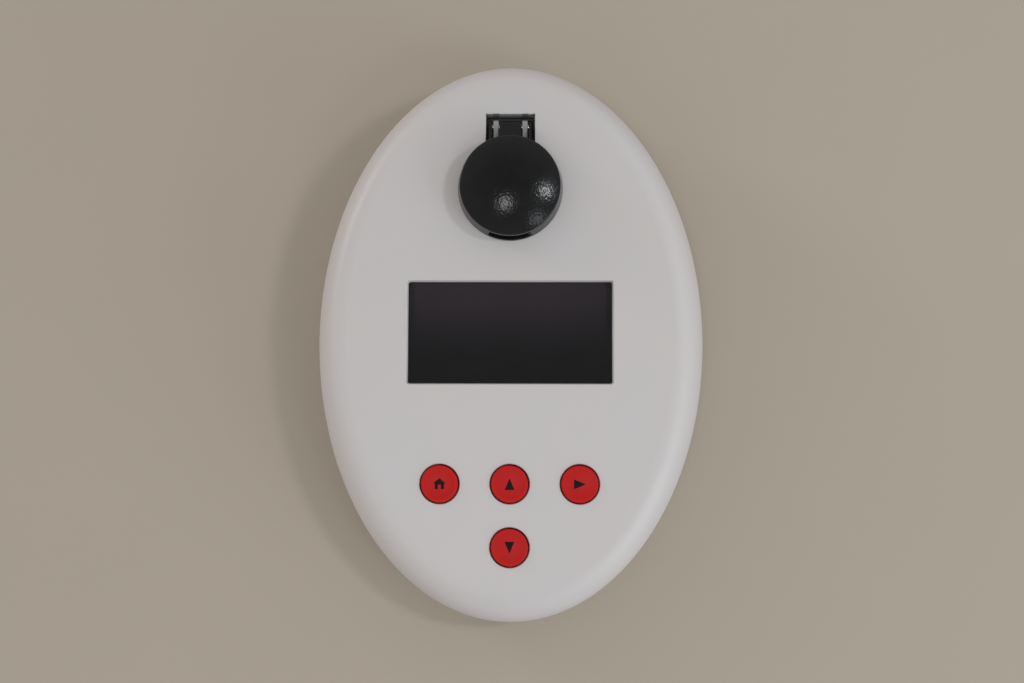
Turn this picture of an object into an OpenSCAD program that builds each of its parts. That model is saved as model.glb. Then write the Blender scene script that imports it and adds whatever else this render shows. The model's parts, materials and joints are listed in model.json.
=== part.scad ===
// Benchtop fluorometer: an oval case with a sloping face, a display, four round keys,
// and a tube well under a hinged round lid. The origin is on the table at the middle of the
// oval, +Y runs to the back and +Z up. Millimetres.

/* [Case] */
// Width of the oval case
body_w = 145; // [143:1:156]
// Length of the oval case
body_l = 210; // [206:1:222]
// Height of the sloping face at the middle of the case
face_h = 38; // [38:0.5:44]
// Slope of the face, rising to the back, in degrees
face_tilt = 5.5; // [4.5:0.5:7]
// Height of the seam between the two housings
seam_h = 16; // [15:0.5:17]
// Wall thickness of both housings
wall = 2.5; // [2:0.1:3]
// Reach of the rounded shoulder in from the outline, at the sides and front
side_shoulder = 9.5; // [8.5:0.5:11]
// Reach of the rounded shoulder at the back
rear_shoulder = 15; // [12:0.5:17]
// Inset of the flat base from the outline
base_inset = 10; // [8:0.5:12]
// Step of the lower housing in from the outline, at the seam
seam_step = 0.4; // [0.2:0.1:0.8]
// Height of the shadow groove at the seam
seam_groove = 0.6; // [0.3:0.1:1]
// Height of the tongue that locks the housings together
tongue_h = 1.6; // [1:0.1:2.5]
// Thickness of the tongue
tongue_t = 1; // [0.8:0.1:1.2]

/* [Feet and case screws] */
// Height that the feet lift the case off the table
foot_h = 2.5; // [2:0.1:3]
// Diameter of a foot where it meets the case
foot_d = 14; // [10:0.5:18]
// Depth of the foot's seat in the base
foot_seat = 1; // [0.5:0.1:1.3]
// Distance of the feet from the side of the outline
foot_from_side = 38.5; // [37:0.5:46]
// Distance of the feet from the end of the outline
foot_from_end = 43; // [42:0.5:50]
// Diameter of the case screws' thread
case_screw_d = 3; // [2.5:0.1:3.5]
// Length of the case screws under the head
case_screw_l = 20; // [16:0.5:22]
// Distance of the case screws from the side of the outline
case_screw_from_side = 25.5; // [24.5:0.5:27]
// Place of the front case screws along the case
case_screw_front = -38; // [-39:0.5:-36]
// Place of the rear case screws along the case
case_screw_rear = 42; // [40:0.5:50]

/* [Display] */
// Width of the display opening
window_w = 75.5; // [70:0.5:77]
// Height of the display opening
window_h = 38; // [34:0.5:39]
// Place of the display's centre up the face
window_y = -0.8; // [-2:0.2:0.5]
// Corner radius of the display opening
window_corner = 0.8; // [0.4:0.1:2]
// Draft of the opening's walls
window_draft = 0.5; // [0.2:0.1:0.8]
// Thickness of the clear window
window_t = 1; // [0.8:0.1:1.4]
// Thickness of the window's gasket
gasket_t = 0.5; // [0.3:0.1:0.8]
// Overlap of the window behind the case wall, all round
window_lap = 3; // [2.5:0.1:3.4]
// Thickness of the display glass
lcd_t = 2.2; // [1.8:0.1:2.6]
// Thickness of the backlight
backlight_t = 3.5; // [3:0.1:4]
// Thickness of the metal frame round the display
frame_t = 0.5; // [0.4:0.1:0.6]

/* [Keys] */
// Diameter of a key's cap
key_d = 13.4; // [12:0.1:14]
// Gap round a key in its hole
key_gap = 0.55; // [0.4:0.05:0.8]
// Distance between the keys across the face
key_pitch_x = 25.4; // [24:0.2:25.4]
// Distance from the key row to the lowest key
key_pitch_y = 22.8; // [22:0.2:24]
// Distance of the key row from the front of the outline
keys_from_front = 49; // [48:0.5:51]
// Height of a key's rim above the face
key_rise = 0.7; // [0.4:0.1:1.5]
// Depth of the dish in a key's top
key_dish = 0.5; // [0.2:0.1:0.8]
// Travel of a key
key_travel = 0.6; // [0.3:0.1:0.8]
// Thickness of the flange that keeps a key in
key_flange_t = 1.2; // [0.8:0.1:1.5]
// Overlap of the flange behind the case wall
key_flange_lap = 1.5; // [1:0.1:2]
// Side of a switch's square body
switch_w = 6.2; // [5.5:0.1:7]
// Height of a switch's body
switch_h = 3.6; // [3.2:0.1:4.2]
// Diameter of a switch's plunger
plunger_d = 3.4; // [3:0.1:4]

/* [Lid and hinge] */
// Distance of the lid's centre from the back of the outline
lid_from_rear = 53; // [52.5:0.5:54]
// Diameter of the lid at its foot
lid_foot_d = 38.6; // [38:0.1:39.4]
// Diameter of the lid at the rim of the dome
lid_rim_d = 36.6; // [36:0.1:37.5]
// Height of the dome's rim above the face
lid_rim_h = 8.6; // [8:0.1:9]
// Rise of the dome above its rim
dome_rise = 4.2; // [3:0.1:5]
// Gap between the closed lid and the face
lid_gap = 0.4; // [0.3:0.1:0.8]
// Thickness of the dome
dome_t = 2.4; // [1.8:0.1:3]
// Thickness of the lid's wall at its foot
lid_wall = 4.8; // [4.4:0.1:5]
// Radius of the finger scoop
scoop_r = 16; // [12:0.5:20]
// Depth of the finger scoop
scoop_depth = 3.2; // [2:0.1:3.4]
// Distance of the hinge axis from the lid's centre
hinge_reach = 23.6; // [23.2:0.1:24.2]
// Depth of the hinge axis under the face
hinge_depth = 2.2; // [2.2:0.1:2.6]
// Diameter of the hinge pin
pin_d = 2.4; // [2:0.1:2.6]
// Radius of the lid's knuckle
knuckle_r = 2.4; // [2.2:0.1:2.6]
// Width of the lid's centre knuckle
knuckle_w = 8.2; // [7.4:0.1:8.4]
// Gap between the knuckle and the case's ears, each side
ear_gap = 0.3; // [0.2:0.05:0.4]
// Thickness of the case's hinge ears
ear_t = 1.9; // [1.6:0.1:2]
// Thickness of the lid's outer arms
arm_t = 1.1; // [0.9:0.1:1.3]
// Gap between an arm and the slot's side
slot_gap = 1.1; // [0.8:0.1:1.4]
// Depth of the hinge slot
slot_depth = 7.5; // [7:0.1:8]
// Reach of the slot behind the hinge axis
slot_behind = 4.6; // [4:0.1:5]

/* [Tube well and optics] */
// Diameter of the bore that takes a sample tube
well_d = 8; // [7.8:0.1:8.4]
// Depth of the tube well under the face
well_depth = 34; // [33:0.5:34]
// Diameter of the seat for the tube's cap
cap_seat_d = 11.6; // [10:0.1:12.5]
// Depth of the seat for the tube's cap under the face
cap_seat_depth = 1.5; // [1:0.1:2]
// Outer diameter of the tube well's sleeve
sleeve_d = 12; // [11:0.1:12.4]
// Outer diameter of the collar's raised ring
collar_ring_d = 16; // [14.5:0.1:16.4]
// Height of the collar's raised ring above the face
collar_ring_h = 3; // [2:0.1:3]
// Diameter of the collar in the case
collar_d = 24; // [23:0.1:24]
// Side of the square optics block
block_w = 34; // [32:0.5:34]
// Depth of the light path under the face
light_depth = 26; // [25.5:0.1:26.5]
// Diameter of the channels for lamps, filters and detectors
channel_d = 8.2; // [8:0.1:9]
// Diameter of the pinhole between a channel and the tube
aperture_d = 3; // [2:0.1:3.4]
// Thickness of a filter
filter_t = 2.5; // [2:0.1:3]

/* [Boards and sockets] */
// Thickness of the circuit boards
board_t = 1.6; // [1.2:0.1:1.6]
// Width of the main board
main_w = 80; // [76:1:80]
// Distance of the main board from the front of the outline
main_from_front = 35; // [35:1:39]
// Gap between the main board and the optics block
main_gap = 13; // [12:0.5:15]
// Height of the posts under the main board
post_h = 5; // [4.4:0.1:6]
// Diameter of the small screws' thread
screw_d = 2.5; // [2:0.1:2.5]
// Length of the small screws under the head
screw_l = 6; // [5:0.5:6]
// Depth of the rear recess for the sockets
recess_depth = 8; // [7:0.5:9]
// Width of the rear recess
recess_w = 45; // [42:1:48]
// Height of the rear recess
recess_h = 14; // [13.5:0.5:15]
// Width of the USB socket's shell
usb_w = 12; // [11.5:0.1:12.5]
// Length of the USB socket's shell
usb_l = 16; // [15:0.5:17]
// Height of the USB socket's shell
usb_h = 10.9; // [10.5:0.1:11.2]
// Width of the opening in the USB socket
usb_mouth_w = 8.4; // [8.4:0.1:8.8]
// Height of the opening in the USB socket
usb_mouth_h = 7.7; // [7.7:0.1:8]
// Depth of the opening in the USB socket
usb_mouth_l = 9; // [8:0.5:10]
// Width of the tongue in the USB socket
usb_tongue_w = 5.6; // [5.4:0.1:5.7]
// Height of the tongue in the USB socket
usb_tongue_h = 3.2; // [3:0.1:3.3]
// Width of the power jack
jack_w = 9; // [8.5:0.1:10]
// Length of the power jack
jack_l = 14; // [12:0.5:15]
// Height of the power jack
jack_h = 11; // [10.5:0.1:11.2]
// Diameter of the power jack's hole
jack_bore_d = 6.4; // [6:0.1:6.6]
// Depth of the power jack's hole
jack_bore_l = 9; // [8:0.5:10]
// Diameter of the pin in the power jack
jack_pin_d = 2; // [2:0.1:2.5]
// Distance between the two sockets' centres
socket_pitch = 24; // [22:1:26]
// Overhang of the two sockets past the rear board's edge
socket_overhang = 6; // [5:0.5:7]
// Gap between the optics block and the rear board
rear_gap = 6; // [5.5:0.5:7]

/* [Hidden] */
$fn = 48;
around = 72;
shoulder_steps = 8;
cavity_steps = 6;
base_steps = 5;
// The shoulder's arc leaves the face with a crease at the sides and smoothly at the back.
side_crown = 1.3;
rear_crown = 1.02;
blend_power = 2;
beyond = 1;
// Radial clearances: round a screw that passes freely, of a seat, of a turning fit, of a pressed pin.
free_gap = 0.2;
fit_gap = 0.05;
run_gap = 0.06;
press_gap = 0.02;
tongue_gap = 0.1;

half_w = body_w / 2;
half_l = body_l / 2;
lid_y = half_l - lid_from_rear;
key_row_y = keys_from_front - half_l;
KEY_HOME = [-key_pitch_x, key_row_y];
KEY_UP = [0, key_row_y];
KEY_GO = [key_pitch_x, key_row_y];
KEY_DOWN = [0, key_row_y - key_pitch_y];
KEYS = [KEY_HOME, KEY_UP, KEY_GO, KEY_DOWN];

floor_h = foot_h + wall;
rebate_floor = seam_h - seam_groove - tongue_h;
tongue_in = seam_step + wall - tongue_t;
boss_joint = seam_h - 1;

// Levels under the face, as depths along its normal.
gasket_z = -wall;
window_z = gasket_z - gasket_t;
frame_z = window_z - window_t;
lcd_z = frame_z - frame_t;
backlight_z = lcd_z - lcd_t;
lcd_board_z = backlight_z - backlight_t;
lcd_margin = 2;
lcd_w = window_w + 2 * lcd_margin;
lcd_l = window_h + 2 * lcd_margin;
frame_w = lcd_w + 2 * (frame_t + fit_gap);
frame_l = lcd_l + 2 * (frame_t + fit_gap);
small_boss_r = 3;
boss_gap = 0.8;
board_edge = 3.4;
pilot_gap = 0.4;
lcd_screw_x = max(frame_w, window_w + 2 * window_lap) / 2 + small_boss_r + boss_gap;
lcd_screw_y = window_h / 2 + 1.5;
LCD_SCREWS = [for (sx = [-1, 1], sy = [-1, 1]) [sx * lcd_screw_x, window_y + sy * lcd_screw_y]];

key_hole_d = key_d + 2 * key_gap;
flange_d = key_hole_d + 2 * key_flange_lap;
flange_gap = 0.1;
flange_z = -wall - flange_gap - key_flange_t;
stem_d = 5;
stem_l = 2.4;
plunger_top = flange_z - stem_l;
plunger_clear = 0.6;
plunger_hold = 1.2;
plunger_end_gap = 0.3;
switch_top = plunger_top - key_travel - plunger_clear;
plunger_bottom = switch_top - plunger_hold;
plunger_bore = plunger_hold + key_travel + plunger_end_gap;
keypad_z = switch_top - switch_h;
keypad_bar_l = 19;
keypad_stem_x = flange_d / 2 + small_boss_r + boss_gap;
keypad_screw_x = key_pitch_x + keypad_stem_x;
keypad_bar_w = 2 * (keypad_screw_x + board_edge);
keypad_stem_w = 2 * (keypad_stem_x + board_edge);
KEYPAD_SCREWS = [for (sx = [-1, 1], s = [[keypad_screw_x, key_row_y], [keypad_stem_x, KEY_DOWN.y]])
    [sx * s.x, s.y]];

lid_r = lid_foot_d / 2;
rim_r = lid_rim_d / 2;
dome_top = lid_rim_h + dome_rise;
dome_r = (rim_r * rim_r + dome_rise * dome_rise) / (2 * dome_rise);
lid_cavity_r = lid_r - lid_wall;
scoop_low = 1.8;
scoop_high = lid_rim_h - 1.5;
// The light trap: a disc in the dome and a skirt that reaches down round the collar's ring.
liner_top = lid_rim_h - 1;
liner_rim_t = 1.2;
liner_disc_t = 3.1;
trap_t = 1.8;
trap_foot = 0.8;
trap_clear = 1.2;
trap_inner = collar_ring_d / 2 + trap_clear;
trap_outer = trap_inner + trap_t;
seal_side_gap = 0.6;
seal_gap = 0.3;
seal_lap = 1;
ear_in = knuckle_w / 2 + ear_gap;
ear_out = ear_in + ear_t;
arm_gap = 0.4;
arm_in = ear_out + arm_gap;
arm_out = arm_in + arm_t;
slot_half = arm_out + slot_gap;
slot_ahead = 8.1;
slot_front = hinge_reach - slot_ahead;
slot_wall = 1.5;
ear_round = 2.6;
ear_ahead = 6.1;
ear_front = hinge_reach - ear_ahead;
web_ahead = 7.3;
web_front = hinge_reach - web_ahead;
web_top = 2.4;
web_low = 1.8;
web_in = 0.4;

collar_lap = 1.2;
collar_flange_r = collar_d / 2 + collar_lap;
collar_gap = 0.15;
collar_flange_t = 2;
collar_top = 0.5;
well_floor = 1.5;
well_tip_r = 1.5;
well_cone_h = 4;
lead_in = 0.4;
edge_cut = 0.3;
// Turn of the well's profile, so that its surfaces meet between the light paths.
profile_turn = 22.5;
block_top = 12;
block_plate_t = 3;
block_boss_gap = 1.5;
block_edge = 4;
block_screw_x = block_w / 2 + small_boss_r + block_boss_gap;
block_screw_y = block_w / 2 - block_edge;
block_plate_w = 2 * (block_screw_x + block_edge);
OPTICS_SCREWS = [for (sx = [-1, 1], sy = [-1, 1]) [sx * block_screw_x, sy * block_screw_y]];
block_floor_gap = 1.3;
// The block stops short of the base under its front edge, which is its lowest.
block_depth = (face_h + (lid_y - block_w / 2) * sin(face_tilt) - floor_h - block_floor_gap)
    / cos(face_tilt);
channel_wall = 3;
channel_start = sleeve_d / 2 + channel_wall;
lens_gap = 0.5;
lamp_tip = channel_start + filter_t + lens_gap;
lamp_r = 2.5;
lamp_flange_r = 2.95;
lamp_flange_t = 1;
detector_r = 3.9;
optic_board_w = 14;
flex_t = 0.3;
flex_h = 8;

main_front = main_from_front - half_l;
main_rear = lid_y - block_w / 2 - main_gap;
main_z = floor_h + post_h;
main_top = main_z + board_t;
main_screw_inset = 4;
MAIN_SCREWS = [for (sx = [-1, 1], y = [main_front + main_screw_inset, main_rear - main_screw_inset])
    [sx * (main_w / 2 - main_screw_inset), y]];
recess_floor = 1.5;
recess_back = half_l - recess_depth;
recess_clear = 0.5;
socket_z = seam_h + recess_floor + recess_clear;
rear_board_z = socket_z - board_t;
rear_board_front = lid_y + block_w / 2 + rear_gap;
rear_board_back = recess_back - socket_overhang;
lead_side_gap = 3.6;
lead_x = block_w / 2 + board_t + flex_t + lead_side_gap;
rear_board_w = 2 * (lead_x + board_edge);
REAR_SCREWS = [[-lead_x, rear_board_back - board_edge], [lead_x, rear_board_back - board_edge],
    [0, rear_board_front + board_edge]];
socket_gap = 0.2;
CASE_SCREWS = [for (sx = [-1, 1], y = [case_screw_front, case_screw_rear])
    [sx * (half_w - case_screw_from_side), y]];
FEET = [for (sx = [-1, 1], sy = [-1, 1])
    [sx * (half_w - foot_from_side), sy * (half_l - foot_from_end)]];
case_boss_r = 4.3;
foot_draft = 0.6;
counterbore_r = 3.2;
counterbore_top = foot_h + 5;
case_head_r = 2.8;
case_head_t = 2.2;
small_head_r = 2.3;
small_head_t = 1.5;

ribbon_t = 0.4;
socket_h = 2.5;
socket_l = 4;
socket_margin = 2;
socket_edge = 0.5;
ribbon_level = socket_h / 2;
lcd_ribbon_w = 16;
keypad_ribbon_w = 12;
optics_ribbon_w = 8;
main_socket_pitch = 18;
keypad_ribbon_run = 3;
// How far a ribbon runs straight out of its socket before it bends.
ribbon_out = 3;
lcd_socket_y = window_y - lcd_l / 2 + socket_l / 2 + 1;
keypad_socket_y = key_row_y + keypad_bar_l / 2 - socket_l / 2 - socket_edge;
keypad_main_socket_y = keypad_socket_y - keypad_ribbon_run;
lcd_main_socket_y = keypad_main_socket_y + main_socket_pitch;
optics_main_socket_y = main_rear - socket_l;

processor_w = 14;
processor_h = 1.4;
processor_gap = 8;
memory_w = 8;
memory_l = 12;
memory_h = 1.2;
memory_gap = 8;
memory_x = (processor_w + memory_w) / 2 + memory_gap;
chips_y = lcd_main_socket_y + socket_l / 2 + ribbon_out + processor_gap + processor_w / 2;
capacitor_r = 3.2;
capacitor_h = 7;
capacitor_gap = 3.8;
capacitor_x = memory_x + memory_w / 2 + capacitor_r + capacitor_gap;
capacitor_inset = 16;
capacitor_y = main_rear - capacitor_inset;

lead_r = 0.7;
lead_pitch = 1.8;
lead_level = 1.6;
lead_bow = 4;
lead_steps = 8;
lead_socket_w = 5;
lead_socket_h = 5;
lead_start = rear_board_front + socket_edge;
lead_end = main_rear - socket_edge;
// The leads' way past the optics block, bowed out and sinking from the rear board to the main board.
LEAD_ROUTE = [for (k = [0 : lead_steps])
    let (a = k / lead_steps)
    [lead_x + lead_bow * sin(180 * a),
        lead_start + (lead_end - lead_start) * a,
        lead_level + socket_z + (main_top - socket_z) * (1 - cos(180 * a)) / 2]];

CASE_WHITE = [0.80, 0.79, 0.76];
KEY_RED = [0.74, 0.12, 0.11];
LID_BLACK = [0.06, 0.06, 0.065];
FOOT_BLACK = [0.1, 0.1, 0.1];
BOARD_GREEN = [0.06, 0.33, 0.17];
STEEL = [0.68, 0.69, 0.71];

// Places its children on the face: local Z is the face's outward normal.
module on_face() {
    translate([0, 0, face_h]) rotate([face_tilt, 0, 0]) children();
}

// Places its children on the face at the lid's centre.
module at_lid() {
    on_face() translate([0, lid_y, 0]) children();
}

// Puts copies of its children at points given as [x, y].
module at_points(points) {
    for (p = points) translate([p.x, p.y, 0]) children();
}

// A circular bar between two heights.
module bar(r, low, high) {
    translate([0, 0, low]) cylinder(r = r, h = high - low);
}

// A block centred on X and Y between two heights.
module slab(w, l, low, high) {
    translate([-w / 2, -l / 2, low]) cube([w, l, high - low]);
}

// A flat square-cornered ring between two heights.
module square_ring(outer_w, outer_l, inner_w, inner_l, low, high) {
    difference() {
        slab(outer_w, outer_l, low, high);
        slab(inner_w, inner_l, low - beyond, high + beyond);
    }
}

// The place in [y, z] of a point on the face's own axes.
function face_point(up, out) = [
    up * cos(face_tilt) - out * sin(face_tilt),
    face_h + up * sin(face_tilt) + out * cos(face_tilt)];

// Outward normal of the oval at angle t.
function outline_normal(t) =
    let (n = [cos(t) / half_w, sin(t) / half_l])
    n / norm(n);

// A point of the oval at angle t, moved in by d.
function inset_point(t, d) = [half_w * cos(t), half_l * sin(t)] - d * outline_normal(t);

// Blends a value from the sides and front to the back.
function to_rear(t, side, rear) = side + (rear - side) * pow(max(0, sin(t)), blend_power);

// One level ring of the oval, moved in by d.
function flat_ring(d, z) = [for (i = [0 : around - 1])
    let (p = inset_point(i * 360 / around, d))
    [p.x, p.y, z]];

// One ring of the shoulder, from the seam (step 0) to the face (step 1), skin deep in the wall.
// It follows a quarter of an ellipse, cut off early where the crown is over 1.
function shoulder_ring(step, skin) = [for (i = [0 : around - 1])
    let (
        t = i * 360 / around,
        reach = to_rear(t, side_shoulder, rear_shoulder),
        crown = to_rear(t, side_crown, rear_crown),
        last = acos(1 - 1 / crown),
        edge = inset_point(t, reach + skin),
        top = face_h + edge.y * tan(face_tilt) - skin / cos(face_tilt),
        p = inset_point(t, skin + reach * crown * (1 - cos(last * step))))
    [p.x, p.y, seam_h + (top - seam_h) * sin(last * step) / sin(last)]];

// One ring of the rounded base, from the seam (step 0) to the flat (step 1), skin deep in the wall.
function base_ring(step, skin) =
    let (
        top = skin > 0 ? rebate_floor : seam_h - seam_groove,
        low = foot_h + skin)
    flat_ring(
        seam_step + skin + (base_inset - seam_step) * (1 - cos(90 * step)),
        top - (top - low) * sin(90 * step));

// Joins a stack of rings, lowest first, into one closed solid.
module loft(rings) {
    bands = len(rings) - 1;
    function at(ring, i) = ring * around + i % around;
    sides = [for (k = [0 : bands - 1], i = [0 : around - 1])
        each [
            [at(k, i), at(k + 1, i), at(k + 1, i + 1)],
            [at(k, i), at(k + 1, i + 1), at(k, i + 1)]]];
    base_cap = [for (i = [0 : around - 1]) at(0, i)];
    top_cap = [for (i = [around - 1 : -1 : 0]) at(bands, i)];
    polyhedron(points = [for (ring = rings) each ring], faces = concat(sides, [base_cap, top_cap]));
}

module upper_solid() {
    loft(concat(
        [flat_ring(tongue_in, seam_h - tongue_h), flat_ring(tongue_in, seam_h)],
        [for (k = [0 : shoulder_steps]) shoulder_ring(k / shoulder_steps, 0)]));
}

module upper_cavity() {
    loft(concat(
        [flat_ring(tongue_in + tongue_t, seam_h - tongue_h - beyond),
            flat_ring(tongue_in + tongue_t, seam_h)],
        [for (k = [0 : cavity_steps]) shoulder_ring(k / cavity_steps, wall)]));
}

module lower_solid() {
    loft([for (k = [base_steps : -1 : 0]) base_ring(k / base_steps, 0)]);
}

module lower_cavity() {
    rebate_in = tongue_in - tongue_gap;
    loft(concat(
        [for (k = [base_steps : -1 : 0]) base_ring(k / base_steps, wall)],
        [flat_ring(rebate_in, rebate_floor), flat_ring(rebate_in, seam_h + beyond)]));
}

// The drafted opening over the display, which narrows through the case wall.
module window_opening() {
    slope = window_draft / wall;
    top_w = window_w + 2 * slope * beyond;
    top_l = window_h + 2 * slope * beyond;
    deep = wall + 2 * beyond;
    narrowing = [1 - 2 * slope * deep / top_w, 1 - 2 * slope * deep / top_l];
    translate([0, window_y, beyond]) mirror([0, 0, 1]) linear_extrude(deep, scale = narrowing, slices = 1)
        rounded_rectangle(top_w, top_l, window_corner);
}

module rounded_rectangle(w, l, r) {
    steps = 4;
    corners = [[1, 1, 0], [-1, 1, 90], [-1, -1, 180], [1, -1, 270]];
    polygon([for (c = corners, k = [0 : steps])
        let (a = c.z + 90 * k / steps)
        [c.x * (w / 2 - r) + r * cos(a), c.y * (l / 2 - r) + r * sin(a)]]);
}

// The hinge slot, with the case's two ears left standing in it.
module hinge_slot() {
    rear = hinge_reach + slot_behind;
    difference() {
        translate([-slot_half, slot_front, -slot_depth])
            cube([2 * slot_half, rear - slot_front, slot_depth + beyond]);
        for (side = [-1, 1]) hinge_ear(side);
    }
    across_hinge(pin_d / 2 + press_gap, 2 * ear_out + 2 * fit_gap);
}

module hinge_ear(side) {
    middle = side * (ear_in + ear_out) / 2;
    translate([middle, 0, 0]) {
        across_hinge(ear_round, ear_t);
        translate([-ear_t / 2, ear_front, -slot_depth - beyond])
            cube([ear_t, hinge_reach + ear_round - ear_front, slot_depth + beyond - hinge_depth]);
        translate([-ear_t / 2, ear_front, -hinge_depth - beyond])
            cube([ear_t, hinge_reach - ear_front, ear_round + beyond]);
    }
}

// A round bar along the hinge axis.
module across_hinge(r, length) {
    translate([0, hinge_reach, -hinge_depth]) rotate([0, 90, 0])
        cylinder(r = r, h = length, center = true);
}

// What stands inside the upper housing: screw bosses, the slot's box and the sockets' box.
module upper_bosses() {
    at_points(CASE_SCREWS) bar(case_boss_r, boss_joint, face_h * 2);
    on_face() {
        at_points(LCD_SCREWS) bar(small_boss_r, lcd_board_z, 0);
        at_points(KEYPAD_SCREWS) bar(small_boss_r, keypad_z, 0);
    }
    at_lid() {
        at_points(OPTICS_SCREWS) bar(small_boss_r, -block_top, 0);
        translate([-slot_half - slot_wall, slot_front - slot_wall, -slot_depth - slot_wall])
            cube([2 * (slot_half + slot_wall), hinge_reach + slot_behind - slot_front + 2 * slot_wall,
                slot_depth + slot_wall]);
    }
    translate([-recess_w / 2 - wall, recess_back - wall, seam_h])
        cube([recess_w + 2 * wall, half_l, recess_floor + recess_h + wall]);
}

module top_housing() {
    color(CASE_WHITE) difference() {
        upper_solid();
        difference() {
            upper_cavity();
            upper_bosses();
        }
        on_face() {
            window_opening();
            at_points(KEYS) bar(key_hole_d / 2, -wall - beyond, beyond);
            at_points(LCD_SCREWS) bar(screw_d / 2 + fit_gap, lcd_board_z - beyond, -wall);
            at_points(KEYPAD_SCREWS) bar(screw_d / 2 + fit_gap, keypad_z - beyond, -wall);
        }
        at_lid() {
            bar(collar_d / 2 + collar_gap, -wall - beyond, beyond);
            at_points(OPTICS_SCREWS) bar(screw_d / 2 + fit_gap, -block_top - beyond, -wall);
            hinge_slot();
        }
        at_points(CASE_SCREWS)
            bar(case_screw_d / 2 + fit_gap, boss_joint - beyond, case_screw_top() + beyond);
        translate([-recess_w / 2, recess_back, seam_h + recess_floor])
            cube([recess_w, half_l, recess_h]);
        translate([0, recess_back - wall - beyond, 0]) socket_openings(wall + 2 * beyond);
    }
}

function case_screw_top() = counterbore_top + case_screw_l;

// The two square holes that the sockets look through.
module socket_openings(deep) {
    for (s = [[-1, usb_w, usb_h], [1, jack_w, jack_h]])
        translate([s[0] * socket_pitch / 2 - s[1] / 2 - socket_gap, 0, socket_z - socket_gap])
            cube([s[1] + 2 * socket_gap, deep, s[2] + 2 * socket_gap]);
}

module bottom_housing() {
    color(CASE_WHITE) difference() {
        lower_solid();
        difference() {
            lower_cavity();
            at_points(CASE_SCREWS) bar(case_boss_r, foot_h, boss_joint);
            at_points(MAIN_SCREWS) bar(small_boss_r, foot_h, main_z);
            at_points(REAR_SCREWS) bar(small_boss_r, foot_h, rear_board_z);
        }
        at_points(CASE_SCREWS) {
            bar(counterbore_r, foot_h - beyond, counterbore_top);
            bar(case_screw_d / 2 + free_gap, foot_h, seam_h);
        }
        at_points(MAIN_SCREWS) pilot(main_top, main_z);
        at_points(REAR_SCREWS) pilot(socket_z, rear_board_z);
        at_points(FEET) bar(foot_d / 2, foot_h - beyond, foot_h + foot_seat);
    }
}

// The hole that a small screw cuts its thread in, down from a post's top.
module pilot(head_level, top) {
    bar(screw_d / 2 + fit_gap, head_level - screw_l - pilot_gap, top + beyond);
}

module rubber_feet() {
    color(FOOT_BLACK) at_points(FEET) {
        bar(foot_d / 2 - fit_gap, foot_h, foot_h + foot_seat);
        cylinder(r1 = foot_d / 2 - foot_draft, r2 = foot_d / 2 - fit_gap, h = foot_h);
    }
}

// A pan-head screw standing head down at the origin, with a cross recess.
module screw(thread_d, length, head_r, head_t) {
    cross_w = 1.2 * head_r;
    cross_t = 0.3 * head_r;
    cross_floor = 0.45 * head_t;
    difference() {
        union() {
            bar(head_r, -head_t, 0);
            bar(thread_d / 2, -head_t / 2, length);
        }
        for (a = [0, 90]) rotate(a) slab(cross_w, cross_t, -head_t - beyond, -cross_floor);
    }
}

module case_screws() {
    color(STEEL) at_points(CASE_SCREWS) translate([0, 0, counterbore_top])
        screw(case_screw_d, case_screw_l, case_head_r, case_head_t);
}

// Small screws, heads under the board, at points on the face's axes.
module board_screws(points, level) {
    color(STEEL) at_points(points) translate([0, 0, level])
        screw(screw_d, screw_l, small_head_r, small_head_t);
}

module display_window() {
    color([0.16, 0.15, 0.17]) on_face() translate([0, window_y, 0])
        slab(window_w + 2 * window_lap, window_h + 2 * window_lap, frame_z, window_z);
}

module window_gasket() {
    color([0.12, 0.12, 0.12]) on_face() translate([0, window_y, 0])
        square_ring(window_w + 2 * window_lap, window_h + 2 * window_lap, window_w, window_h,
            window_z, gasket_z);
}

module display_frame() {
    lip = 1.2;
    color(STEEL) on_face() translate([0, window_y, 0]) {
        square_ring(frame_w, frame_l, lcd_w + 2 * fit_gap, lcd_l + 2 * fit_gap, lcd_board_z, frame_z);
        square_ring(frame_w, frame_l, lcd_w - 2 * lip, lcd_l - 2 * lip, lcd_z, frame_z);
    }
}

module display_glass() {
    color([0.14, 0.14, 0.16]) on_face() translate([0, window_y, 0])
        slab(lcd_w, lcd_l, backlight_z, lcd_z);
}

module backlight() {
    color([0.9, 0.92, 0.92]) on_face() translate([0, window_y, 0])
        slab(lcd_w, lcd_l, lcd_board_z, backlight_z);
}

module display_board() {
    w = 2 * (lcd_screw_x + board_edge);
    l = 2 * (lcd_screw_y + board_edge);
    color(BOARD_GREEN) on_face() difference() {
        translate([0, window_y, 0]) slab(w, l, lcd_board_z - board_t, lcd_board_z);
        at_points(LCD_SCREWS)
            bar(screw_d / 2 + free_gap, lcd_board_z - board_t - beyond, lcd_board_z + beyond);
    }
}

module display_screws() {
    on_face() board_screws(LCD_SCREWS, lcd_board_z - board_t);
}

// A flat strip in the YZ plane that follows a list of [y, z] points, rounded at its bends.
module ribbon(path, width) {
    last = len(path) - 1;
    rotate([90, 0, 90]) linear_extrude(width, center = true) {
        for (k = [0 : last - 1])
            let (step = path[k + 1] - path[k])
            translate(path[k]) rotate(atan2(step.y, step.x))
                translate([0, -ribbon_t / 2]) square([norm(step), ribbon_t]);
        for (k = [1 : last - 1]) translate(path[k]) circle(r = ribbon_t / 2);
    }
}

// A step of a ribbon's way along the face.
function along_face(d) = d * [cos(face_tilt), sin(face_tilt)];

module display_ribbon() {
    start = face_point(lcd_socket_y - socket_l / 2, lcd_board_z - board_t - ribbon_level);
    finish = [lcd_main_socket_y + socket_l / 2, main_top + ribbon_level];
    color([0.55, 0.35, 0.12])
        ribbon([start, start - along_face(ribbon_out), finish + [ribbon_out, 0], finish],
            lcd_ribbon_w);
}

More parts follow.
